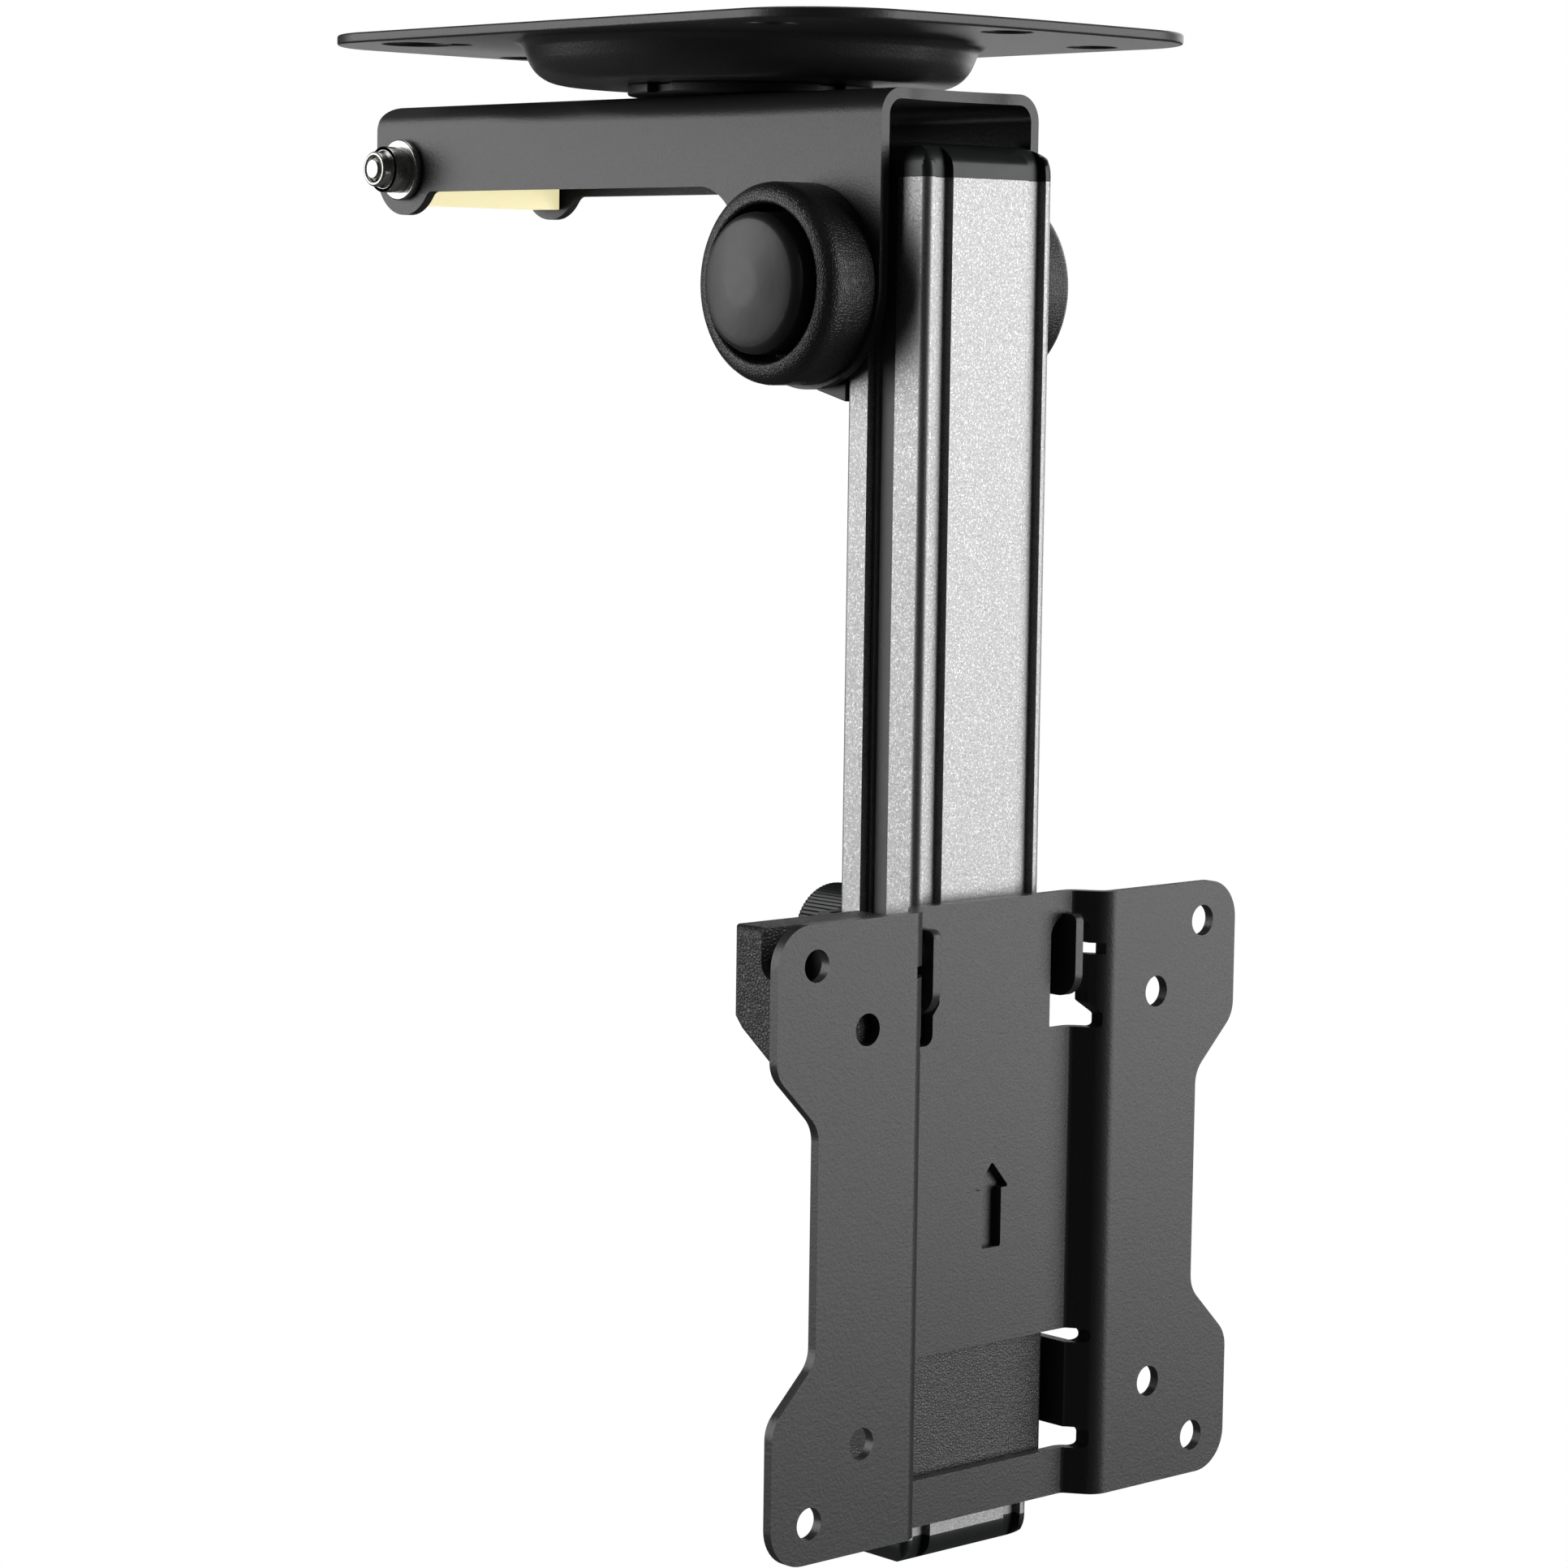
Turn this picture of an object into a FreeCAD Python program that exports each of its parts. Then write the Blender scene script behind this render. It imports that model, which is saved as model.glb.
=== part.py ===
import FreeCAD, Part
import math
import os

import Sketcher

# Flip-down ceiling mount for a small television, in millimetres.
# Origin: centre of the ceiling plate's mounting face, on the swivel axis. +Z up, +Y to the channel's far end,
# so the screen faces -Y and the folded arm lies under the channel.

# Driving sizes. Every key is an alias in the spreadsheet.
SIZES = {
    # Sheet steel and the play between pieces
    "sheet": 2.0,
    "running_clearance": 0.05,
    "side_gap": 0.3,
    "washer_sheet": 1.6,
    # Ceiling plate with its pressed dome
    "plate_width": 104.0,
    "plate_length": 154.0,
    "plate_bow": 2.5,
    "plate_corner": 20.0,
    "bow_round": 400.0,
    "dome_radius": 44.0,
    "dome_depth": 7.8,
    "dome_angle": 68.0,
    "dome_bend": 2.5,
    "dome_foot_bend": 5.0,
    "dome_overlap": 4.0,
    "screw_hole": 4.6,
    "end_hole_pitch": 138.0,
    "corner_hole_x": 41.0,
    "corner_hole_y": 51.0,
    "keyhole_head": 6.75,
    "keyhole_slot": 3.25,
    "keyhole_reach": 10.6,
    "keyhole_turn": 51.0,
    "keyhole_tip_round": 3.1,
    # Swivel stack under the dome
    "swivel_bolt": 4.0,
    "swivel_head": 9.5,
    "swivel_head_rise": 4.2,
    "swivel_head_round": 2.9,
    "swivel_chamfer": 0.6,
    "swivel_neck": 4.6,
    "swivel_tail": 3.0,
    "disc_radius": 23.5,
    "disc_sheet": 2.0,
    "disc_notch_half": 3.0,
    "disc_notch_depth": 2.2,
    "disc_notch_count": 4,
    "friction_radius": 13.0,
    "friction_sheet": 1.5,
    "steel_washer_radius": 11.5,
    "disc_spring_radius": 9.0,
    "disc_spring_rise": 1.0,
    "disc_spring_sheet": 1.0,
    "swivel_nut_half": 6.5,
    "swivel_nut_height": 8.0,
    # Channel bracket
    "channel_side": 17.2,
    "channel_bend": 5.0,
    "channel_front": 57.7,
    "channel_back": 91.2,
    "channel_top_corner": 3.0,
    "front_scoop": 3.0,
    "front_scoop_round": 60.0,
    "lobe_radius": 19.2,
    "lobe_fillet": 11.5,
    "lug_radius": 9.0,
    "lug_fillet": 2.5,
    "cut_margin": 5.0,
    # Stop bolt and bumper pad at the far end
    "stop_y": 82.2,
    "stop_drop": 12.85,
    "stop_bolt": 2.5,
    "stop_washer": 6.1,
    "stop_head_half": 4.0,
    "stop_head_height": 3.5,
    "stop_nut_height": 5.0,
    "bolt_tail": 1.5,
    "pad_front": 3.4,
    "pad_back": 5.0,
    "pad_low": 6.95,
    "pad_high": 5.5,
    # Pivot, its covers and caps
    "pivot_forward": 38.5,
    "pivot_drop": 47.5,
    "pivot_bolt": 4.0,
    "pivot_head_half": 6.5,
    "pivot_head_height": 5.0,
    "pivot_washer": 8.0,
    "pivot_nut_height": 6.5,
    "cover_radius": 18.45,
    "cover_bore": 14.5,
    "cover_length": 11.4,
    "cover_floor": 2.0,
    "cover_round": 3.1,
    "cover_lip_round": 0.7,
    "cap_radius": 12.9,
    "cap_length": 11.9,
    "cap_dome": 1.8,
    "cap_wall": 1.2,
    "cap_round": 1.5,
    "hinge_washer_radius": 6.5,
    "hinge_washer_sheet": 1.5,
    # Arm extrusion
    "arm_width": 32.6,
    "arm_depth": 20.4,
    "arm_length": 250.0,
    "arm_corner": 1.6,
    "pivot_to_arm": 6.8,
    "arm_rise": 19.4,
    "groove_land": 2.25,
    "groove_width": 4.35,
    "groove_depth": 1.5,
    "slot_width": 6.94,
    "slot_depth": 3.2,
    "slot_shift": 0.8,
    "chamber_width": 18.0,
    "chamber_depth": 15.6,
    "chamber_round": 1.5,
    "rear_slot_width": 12.0,
    "rear_slot_depth": 0.8,
    # Arm end caps and slot strips
    "top_cap_height": 6.2,
    "bottom_cap_height": 5.5,
    "cap_plug_depth": 6.0,
    "cap_plug_wall": 1.6,
    "cap_plug_play": 0.15,
    "cap_shoulder": 4.4,
    "cap_brow": 3.6,
    "strip_sheet": 0.9,
    "strip_lip": 1.6,
    "strip_play": 0.1,
    # Hinge block behind the arm
    "hinge_low": 21.3,
    "hinge_high": 16.5,
    "hinge_nose": 10.0,
    "hinge_nose_round": 7.0,
    "hinge_toe": 1.9,
    "hinge_toe_drop": 19.1,
    "hinge_toe_round": 4.2,
    "hinge_nose_drop": 9.0,
    "hinge_screw": 2.0,
    "hinge_screw_head": 3.8,
    "hinge_screw_head_height": 2.0,
    "hinge_screw_length": 6.0,
    "hinge_screw_bore": 8.0,
    "hinge_screw_pitch": 23.5,
    "hinge_screw_shift": 3.25,
    # Sliding carriage, its heights counted from the top and bottom edges of the screen plate
    "carriage_rest": 61.6,
    "slide_clearance": 0.2,
    "liner_front": 1.7,
    "liner_side": 1.0,
    "liner_back": 1.5,
    "liner_corner": 1.1,
    "liner_low": 7.4,
    "liner_high": 4.4,
    "liner_rib_depth": 1.6,
    "liner_rib_play": 0.25,
    "bracket_low": 12.8,
    "bracket_high": 4.8,
    "bracket_bend": 3.0,
    "side_set_back": 3.5,
    "hook_height": 14.8,
    "hook_lip": 0.8,
    "hook_play": 0.4,
    "hook_lip_sheet": 3.4,
    "hook_top_round": 1.5,
    "hook_low_round": 4.4,
    "clamp_drop": 10.9,
    "clamp_screw": 3.0,
    "clamp_nut_half": 5.5,
    "clamp_nut_height": 2.1,
    "clamp_pad": 4.5,
    "knob_radius": 9.5,
    "knob_shoulder": 7.6,
    "knob_shoulder_height": 2.5,
    "knob_length": 14.2,
    "knob_end": 3.0,
    "knob_gap": 0.4,
    "knob_round": 1.6,
    "knob_groove": 0.9,
    "knob_groove_out": 0.45,
    "knob_groove_count": 24,
    # Latch on the carriage's left. Heights count down from the screen plate's top edge.
    "latch_width": 30.5,
    "latch_wall": 2.0,
    "latch_front": 2.5,
    "latch_back": 22.2,
    "latch_top": 2.4,
    "latch_back_low": 19.0,
    "latch_slope_low": 21.2,
    "latch_bottom": 32.4,
    "latch_slope_back": 20.3,
    "latch_slope_front": 4.5,
    "latch_edge_round": 1.6,
    "latch_pocket_back": 14.6,
    "latch_pocket_floor": 17.4,
    "latch_notch_floor": 11.4,
    "latch_round": 3.0,
    "latch_play": 0.3,
    "latch_travel": 6.0,
    "latch_slider_length": 8.0,
    "latch_nose_root": 1.0,
    "latch_nose_height": 1.5,
    "latch_nose_top": 10.0,
    "latch_nose_edge": 0.1,
    "latch_nose_depth": 2.4,
    "latch_nose_tip": 2.2,
    "latch_spring_radius": 2.2,
    "latch_spring_wire": 0.4,
    "latch_spring_turns": 6,
    "latch_spring_back": 2.5,
    "latch_spring_rise": 3.2,
    # VESA plate
    "vesa_width": 118.4,
    "vesa_height": 114.8,
    "vesa_corner": 7.5,
    "vesa_waist": 49.0,
    "vesa_waist_half": 21.0,
    "vesa_shoulder_half": 31.2,
    "vesa_neck_round": 6.0,
    "web_margin": 0.5,
    "step_run": 4.0,
    "step_depth": 5.5,
    "step_bend": 1.2,
    "flange_bend": 2.6,
    "plate_gap": 1.0,
    "hole_margin": 7.4,
    "wide_pitch": 100.0,
    "narrow_pitch": 75.0,
    "vesa_hole": 2.95,
    "low_window_margin": 3.55,
    "low_window_rail": 8.8,
    "low_window_height": 23.0,
    "low_window_round": 1.2,
    "ear_gap": 0.5,
    "ear_rail": 12.8,
    "ear_height": 16.3,
    "ear_reach": 9.5,
    "ear_round": 3.0,
    "hook_window_inside": 5.1,
    "hook_window_outside": 2.4,
    "hook_window_height": 20.8,
    "hook_window_small_round": 0.8,
    "hook_window_side_round": 2.0,
    "hook_window_round": 3.4,
    "hook_window_lobe": 1.9,
    "hook_window_lobe_low": 18.3,
    "hook_window_lobe_high": 16.0,
    "hook_window_toe": 1.6,
    "hook_window_toe_low": 15.4,
    "hook_window_toe_high": 13.4,
    "latch_notch_height": 2.1,
    "latch_notch_top": 9.7,
    "latch_notch_reach": 5.9,
    "spare_notch_reach": 4.6,
    "arrow_tip": 8.5,
    "arrow_barb_z": 3.4,
    "arrow_barb_half": 4.4,
    "arrow_stem_half": 2.45,
    "arrow_bottom": 7.6,
    "arrow_depth": 0.8,
    "arrow_round": 0.5,
    "arrow_barb_round": 0.3,
}

# Places worked out from the sizes, as expressions of the sheet
SWIVEL_TOP = "Dim.sheet + Dim.dome_depth"
WEB_TOP = "(Dim.sheet + Dim.dome_depth + Dim.disc_sheet + Dim.side_gap)"
WEB_UNDER = "(Dim.sheet + Dim.dome_depth + Dim.disc_sheet + Dim.side_gap + Dim.sheet)"
PIVOT_Y = "-Dim.pivot_forward"
PIVOT_Z = "-Dim.pivot_drop"
ARM_Y = "-(Dim.pivot_forward + Dim.pivot_to_arm + Dim.arm_depth / 2)"
ARM_TOP_Z = "Dim.arm_rise - Dim.pivot_drop"
ARM_BOTTOM_Z = "Dim.arm_rise - Dim.pivot_drop - Dim.arm_length"
GROOVE_OUT = "(Dim.arm_width / 2 - Dim.groove_land)"
GROOVE_IN = "(Dim.arm_width / 2 - Dim.groove_land - Dim.groove_width)"
PLATE_BACK = "(Dim.sheet + Dim.step_depth)"
PLATE_TOP = "(Dim.vesa_height / 2)"
LINER_FRONT = "(Dim.sheet + Dim.step_depth + Dim.plate_gap)"
ARM_FRONT = "(Dim.sheet + Dim.step_depth + Dim.plate_gap + Dim.liner_front + Dim.slide_clearance)"
PLATE_Y = "-(Dim.pivot_forward + Dim.pivot_to_arm + Dim.arm_depth) - " + ARM_FRONT
PLATE_Z = "Dim.arm_rise - Dim.pivot_drop - Dim.arm_length + Dim.carriage_rest"
LINER_HALF = "(Dim.arm_width / 2 + Dim.slide_clearance + Dim.liner_side)"
BRACKET_HALF = "(Dim.arm_width / 2 + Dim.slide_clearance + Dim.liner_side + Dim.sheet)"
LINER_BACK = "(" + ARM_FRONT + " + Dim.arm_depth + Dim.slide_clearance + Dim.liner_back)"
BRACKET_BACK = "(" + LINER_BACK + " + Dim.sheet)"
KNOB_FRONT = "(" + BRACKET_BACK + " + Dim.clamp_nut_height + Dim.knob_gap)"
BEND_SHIFT = "Dim.sheet * tan(atan(Dim.step_depth / Dim.step_run) / 2)"
WEB_HALF = f"({BRACKET_HALF} + Dim.web_margin)"
LATCH_LEFT = f"({BRACKET_HALF} + Dim.latch_width)"
LIFT = "(Dim.hook_lip + Dim.hook_play)"
CHANNEL_HALF = "(Dim.arm_width / 2 + Dim.hinge_washer_sheet + Dim.side_gap + Dim.sheet)"
CHANNEL_CUT = f"(2 * {CHANNEL_HALF} + Dim.cut_margin)"
CLAMP_Z = f"({PLATE_TOP} - Dim.clamp_drop)"
BRACKET_TOP = f"({PLATE_TOP} - Dim.bracket_high)"
BRACKET_FOOT = f"({PLATE_TOP} - Dim.bracket_low)"

doc = FreeCAD.newDocument("CeilingMount")
sheet = doc.addObject("Spreadsheet::Sheet", "Dim")
for row, (alias, number) in enumerate(SIZES.items(), start=1):
    sheet.set(f"A{row}", alias)
    sheet.set(f"B{row}", str(number))
    sheet.setAlias(f"B{row}", alias)
doc.recompute()

NODES = []


def value(expression):
    """The number that an expression of the sheet gives."""
    return float(sheet.evalExpression(str(expression)))


def bind(thing, **expressions):
    """Ties properties to expressions; a double underscore in a name stands for a dot."""
    for name, expression in expressions.items():
        thing.setExpression(name.replace("__", "."), str(expression))


def place(thing, x="0", y="0", z="0"):
    """Moves a sub-part's own origin to a point of the part's frame."""
    bind(thing, Placement__Base__x=x, Placement__Base__y=y, Placement__Base__z=z)
    return thing


def node(thing, name, at=("0", "0", "0")):
    """Labels a finished sub-part, which gets its own STEP file."""
    thing.Label = name
    place(thing, *at)
    if thing not in NODES:
        NODES.append(thing)
    return thing


def body(name, at=("0", "0", "0")):
    """A new sub-part that is built from sketches."""
    return node(doc.addObject("PartDesign::Body", "Body_" + name), name, at)


def sketch(owner, name, role, offset="0", turn="0", shift=("0", "0")):
    """A sketch on one of the body's own planes, moved along its normal by offset and turned in it."""
    made = owner.newObject("Sketcher::SketchObject", name)
    support = next(item for item in owner.Origin.OriginFeatures if item.Role == role)
    made.AttachmentSupport = [(support, "")]
    made.MapMode = "FlatFace"
    made.setExpression("AttachmentOffset.Base.x", str(shift[0]))
    made.setExpression("AttachmentOffset.Base.y", str(shift[1]))
    made.setExpression("AttachmentOffset.Base.z", str(offset))
    made.setExpression("AttachmentOffset.Rotation.Angle", str(turn))
    return made


def pin_point(limits, rules, geometry, end, x, y):
    """Holds a point of a sketch at x and y, both expressions."""
    for kind, expression in (("DistanceX", x), ("DistanceY", y)):
        limits.append(Sketcher.Constraint(kind, -1, 1, geometry, end, value(expression)))
        rules.append((len(limits) - 1, expression))


def apply_rules(made, limits, rules):
    """Adds the constraints and ties each one that has an expression to the sheet."""
    first = made.ConstraintCount
    made.addConstraint(limits)
    for index, expression in rules:
        made.setExpression(f"Constraints[{first + index}]", str(expression))


def circle(made, x, y, radius):
    """A full circle."""
    centre = FreeCAD.Vector(value(x), value(y), 0)
    index = made.addGeometry(Part.Circle(centre, FreeCAD.Vector(0, 0, 1), value(radius)), False)
    limits = []
    rules = []
    pin_point(limits, rules, index, 3, x, y)
    limits.append(Sketcher.Constraint("Radius", index, value(radius)))
    rules.append((len(limits) - 1, radius))
    apply_rules(made, limits, rules)


def outline(made, corners):
    """A closed outline of straight sides. A corner is (x, y) or (x, y, radius of its rounding)."""
    count = len(corners)
    spots = [FreeCAD.Vector(value(corner[0]), value(corner[1]), 0) for corner in corners]
    starts = list(spots)
    ends = list(spots)
    arcs = {}
    for index, corner in enumerate(corners):
        if len(corner) < 3:
            continue
        radius = value(corner[2])
        back = (spots[index - 1] - spots[index]).normalize()
        ahead = (spots[(index + 1) % count] - spots[index]).normalize()
        half = back.getAngle(ahead) / 2
        reach = radius / math.tan(half)
        ends[index] = spots[index] + back * reach
        starts[index] = spots[index] + ahead * reach
        middle = spots[index] + (back + ahead).normalize() * (radius / math.sin(half))
        left_turn = back.cross(ahead).z < 0
        first, last = (ends[index], starts[index]) if left_turn else (starts[index], ends[index])
        angles = [math.atan2(spot.y - middle.y, spot.x - middle.x) for spot in (first, last)]
        ring = Part.Circle(middle, FreeCAD.Vector(0, 0, 1), radius)
        arcs[index] = (Part.ArcOfCircle(ring, angles[0], angles[1]), left_turn)
    base = made.GeometryCount
    lines = [Part.LineSegment(starts[index], ends[(index + 1) % count]) for index in range(count)]
    made.addGeometry(lines, False)
    limits = []
    rules = []
    for index, corner in enumerate(corners):
        before = base + (index - 1) % count
        after = base + index
        if index not in arcs:
            limits.append(Sketcher.Constraint("Coincident", before, 2, after, 1))
            pin_point(limits, rules, after, 1, corner[0], corner[1])
            continue
        arc, left_turn = arcs[index]
        curve = made.addGeometry(arc, False)
        point = made.addGeometry(Part.Point(spots[index]), True)
        entry, leave = (1, 2) if left_turn else (2, 1)
        limits.append(Sketcher.Constraint("Tangent", before, 2, curve, entry))
        limits.append(Sketcher.Constraint("Tangent", curve, leave, after, 1))
        limits.append(Sketcher.Constraint("PointOnObject", point, 1, before))
        limits.append(Sketcher.Constraint("PointOnObject", point, 1, after))
        limits.append(Sketcher.Constraint("Radius", curve, value(corner[2])))
        rules.append((len(limits) - 1, corner[2]))
        pin_point(limits, rules, point, 1, corner[0], corner[1])
    apply_rules(made, limits, rules)


def box_outline(made, low_x, high_x, low_y, high_y, radius=None):
    """A rectangle, its corners rounded where a radius is given."""
    corners = [(low_x, low_y), (high_x, low_y), (high_x, high_y), (low_x, high_y)]
    outline(made, [corner if radius is None else corner + (radius,) for corner in corners])


def round_end(made, x, y, radius, out):
    """Closes off what lies outside a half-round end: a half circle that opens towards +y at (x, y)."""
    reach = value(radius)
    deep = value(out)
    middle = FreeCAD.Vector(value(x), value(y), 0)
    left = middle + FreeCAD.Vector(-reach, 0, 0)
    right = middle + FreeCAD.Vector(reach, 0, 0)
    low_left = left + FreeCAD.Vector(0, -reach - deep, 0)
    low_right = right + FreeCAD.Vector(0, -reach - deep, 0)
    ring = Part.Circle(middle, FreeCAD.Vector(0, 0, 1), reach)
    arc = made.addGeometry(Part.ArcOfCircle(ring, math.pi, 2 * math.pi), False)
    sides = [made.addGeometry(Part.LineSegment(first, last), False)
             for first, last in ((left, low_left), (low_left, low_right), (low_right, right))]
    limits = [
        Sketcher.Constraint("Coincident", arc, 1, sides[0], 1),
        Sketcher.Constraint("Coincident", sides[0], 2, sides[1], 1),
        Sketcher.Constraint("Coincident", sides[1], 2, sides[2], 1),
        Sketcher.Constraint("Coincident", sides[2], 2, arc, 2),
        Sketcher.Constraint("Vertical", sides[0]),
        Sketcher.Constraint("Horizontal", sides[1]),
        Sketcher.Constraint("Vertical", sides[2]),
        Sketcher.Constraint("DistanceY", arc, 3, arc, 1, 0.0),
        Sketcher.Constraint("DistanceY", arc, 3, arc, 2, 0.0),
    ]
    rules = []
    pin_point(limits, rules, arc, 3, x, y)
    limits.append(Sketcher.Constraint("Radius", arc, reach))
    rules.append((len(limits) - 1, radius))
    limits.append(Sketcher.Constraint("DistanceY", sides[0], 2, arc, 3, reach + deep))
    rules.append((len(limits) - 1, f"{radius} + {out}"))
    apply_rules(made, limits, rules)


def corner_cut(made, x, y, radius, sign_x="", sign_y=""):
    """Closes off what lies outside a rounded corner at (x, y), which points along the two signs."""
    near_x = f"{x} - {sign_x}({radius} + Dim.side_gap)"
    near_y = f"{y} - {sign_y}({radius} + Dim.side_gap)"
    far_x = f"{x} + {sign_x}(Dim.cut_margin)"
    far_y = f"{y} + {sign_y}(Dim.cut_margin)"
    outline(made, [(near_x, y), (x, y, radius), (x, near_y),
                   (far_x, near_y), (far_x, far_y), (near_x, far_y)])


def pad(owner, profile, length, symmetric=False, backwards=False):
    """Adds the profile's own thickness of material."""
    made = owner.newObject("PartDesign::Pad", profile.Name + "_pad")
    made.Profile = profile
    made.SideType = "Symmetric" if symmetric else "One side"
    made.Reversed = backwards
    bind(made, Length=length)
    doc.recompute()
    return made


def pocket(owner, profile, length, symmetric=False, backwards=False):
    """Cuts the profile out, and makes sure that the cut takes something away."""
    before = owner.Tip.Shape.Volume
    made = owner.newObject("PartDesign::Pocket", profile.Name + "_cut")
    made.Profile = profile
    made.SideType = "Symmetric" if symmetric else "One side"
    made.Reversed = backwards
    bind(made, Length=length)
    doc.recompute()
    if not made.Shape.Volume < before:
        raise RuntimeError(f"{made.Name} cuts nothing from {owner.Label}")
    return made


def revolve(owner, profile, axis="V_Axis"):
    """Turns the profile once round a sketch axis."""
    made = owner.newObject("PartDesign::Revolution", profile.Name + "_turned")
    made.Profile = profile
    made.ReferenceAxis = (profile, [axis])
    made.Angle = 360
    doc.recompute()
    return made


def polar(owner, feature, axis_role, count):
    """Repeats a feature round an axis of the body."""
    made = owner.newObject("PartDesign::PolarPattern", feature.Name + "_ring")
    made.Originals = [feature]
    made.Axis = (next(item for item in owner.Origin.OriginFeatures if item.Role == axis_role), [""])
    made.Angle = 360
    bind(made, Occurrences=count)
    owner.Tip = made
    doc.recompute()
    return made


def edges_where(shape, test):
    """Names of the edges that pass a test on their middle point and direction."""
    found = []
    for index, edge in enumerate(shape.Edges, start=1):
        if edge.Curve.TypeId != "Part::GeomLine":
            continue
        middle = edge.valueAt((edge.FirstParameter + edge.LastParameter) / 2)
        if test(middle, edge.tangentAt(edge.FirstParameter)):
            found.append(f"Edge{index}")
    return found


def fillet(owner, test, radius):
    """Rounds the straight edges of a body's last feature that pass the test."""
    last = owner.Tip
    made = owner.newObject("PartDesign::Fillet", last.Name + "_rounded")
    made.Base = (last, edges_where(last.Shape, test))
    bind(made, Radius=radius)
    doc.recompute()
    return made


def near(first, second, reach=0.02):
    """True where two numbers are the same but for rounding."""
    return abs(first - second) < reach


def ring(name, outer, inner, length, at, along="Z"):
    """A washer, sleeve or tube, from at along an axis of the part."""
    turn = {"Z": (0, 0, 0), "X": (0, 90, 0), "Y": (-90, 0, 0)}[along]
    outside = doc.addObject("Part::Cylinder", name + "_outside")
    bind(outside, Radius=outer, Height=length)
    inside = doc.addObject("Part::Cylinder", name + "_bore")
    bind(inside, Radius=inner, Height=length)
    made = doc.addObject("Part::Cut", name + "_ring")
    made.Base = outside
    made.Tool = inside
    made.Placement.Rotation = FreeCAD.Rotation(turn[2], turn[1], turn[0])
    return place(made, *at)


def group(name, members):
    """Like pieces that share one node, as separate solids."""
    made = doc.addObject("Part::Compound", name + "_group")
    made.Links = members
    return node(made, name)


def hex_corners(half):
    """Corners of a hexagon with two flat sides up and down, half as wide across flats as given."""
    return [(f"{half} * 2 / sqrt(3) * cos({angle})", f"{half} * 2 / sqrt(3) * sin({angle})")
            for angle in range(0, 360, 60)]


def ceiling_plate():
    """The pressed plate that is screwed to the ceiling, with its round dome."""
    made = body("ceiling_plate")
    blank = sketch(made, "plate_blank", "XY_Plane")
    side = "Dim.plate_width / 2"
    shoulder = "Dim.plate_length / 2 - Dim.plate_bow"
    tip = "Dim.plate_length / 2"
    outline(blank, [
        (f"{side}", f"{shoulder}", "Dim.plate_corner"),
        ("0", f"{tip}", "Dim.bow_round"),
        (f"-{side}", f"{shoulder}", "Dim.plate_corner"),
        (f"-{side}", f"-({shoulder})", "Dim.plate_corner"),
        ("0", f"-({tip})", "Dim.bow_round"),
        (f"{side}", f"-({shoulder})", "Dim.plate_corner"),
    ])
    pad(made, blank, "Dim.sheet", backwards=True)
    mouth = sketch(made, "dome_mouth", "XY_Plane")
    circle(mouth, "0", "0", "Dim.dome_radius + Dim.dome_overlap / 2")
    pocket(made, mouth, "Dim.sheet")
    wall = sketch(made, "dome_wall", "XZ_Plane")
    lip = "Dim.dome_radius + Dim.dome_overlap"
    foot = "Dim.dome_radius - Dim.dome_depth / tan(Dim.dome_angle)"
    shift = "Dim.sheet * tan(Dim.dome_angle / 2)"
    bore = "Dim.swivel_neck + Dim.running_clearance"
    outline(wall, [
        (bore, "-Dim.sheet - Dim.dome_depth"),
        (foot, "-Dim.sheet - Dim.dome_depth", "Dim.dome_foot_bend + Dim.sheet"),
        ("Dim.dome_radius", "-Dim.sheet", "Dim.dome_bend"),
        (lip, "-Dim.sheet"),
        (lip, "0"),
        (f"Dim.dome_radius - {shift}", "0", "Dim.dome_bend + Dim.sheet"),
        (f"{foot} - {shift}", "-Dim.dome_depth", "Dim.dome_foot_bend"),
        (bore, "-Dim.dome_depth"),
    ])
    revolve(made, wall)
    holes = sketch(made, "plate_holes", "XY_Plane")
    for place_y in ("Dim.end_hole_pitch / 2", "-Dim.end_hole_pitch / 2"):
        circle(holes, "0", place_y, "Dim.screw_hole")
    for sign in ("", "-"):
        circle(holes, sign + "Dim.corner_hole_x", "-Dim.corner_hole_y", "Dim.screw_hole")
    pocket(made, holes, "Dim.sheet")
    for name, sign, turn in (("right", "", "180 + Dim.keyhole_turn"), ("left", "-", "-Dim.keyhole_turn")):
        where = (sign + "Dim.corner_hole_x", "Dim.corner_hole_y")
        head = sketch(made, f"keyhole_head_{name}", "XY_Plane", shift=where)
        circle(head, "0", "0", "Dim.keyhole_head")
        pocket(made, head, "Dim.sheet")
        neck = sketch(made, f"keyhole_neck_{name}", "XY_Plane", turn=turn, shift=where)
        outline(neck, [
            ("0", "-Dim.keyhole_slot"),
            ("Dim.keyhole_reach", "-Dim.keyhole_slot", "Dim.keyhole_tip_round"),
            ("Dim.keyhole_reach", "Dim.keyhole_slot", "Dim.keyhole_tip_round"),
            ("0", "Dim.keyhole_slot"),
        ])
        pocket(made, neck, "Dim.sheet")


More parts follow.
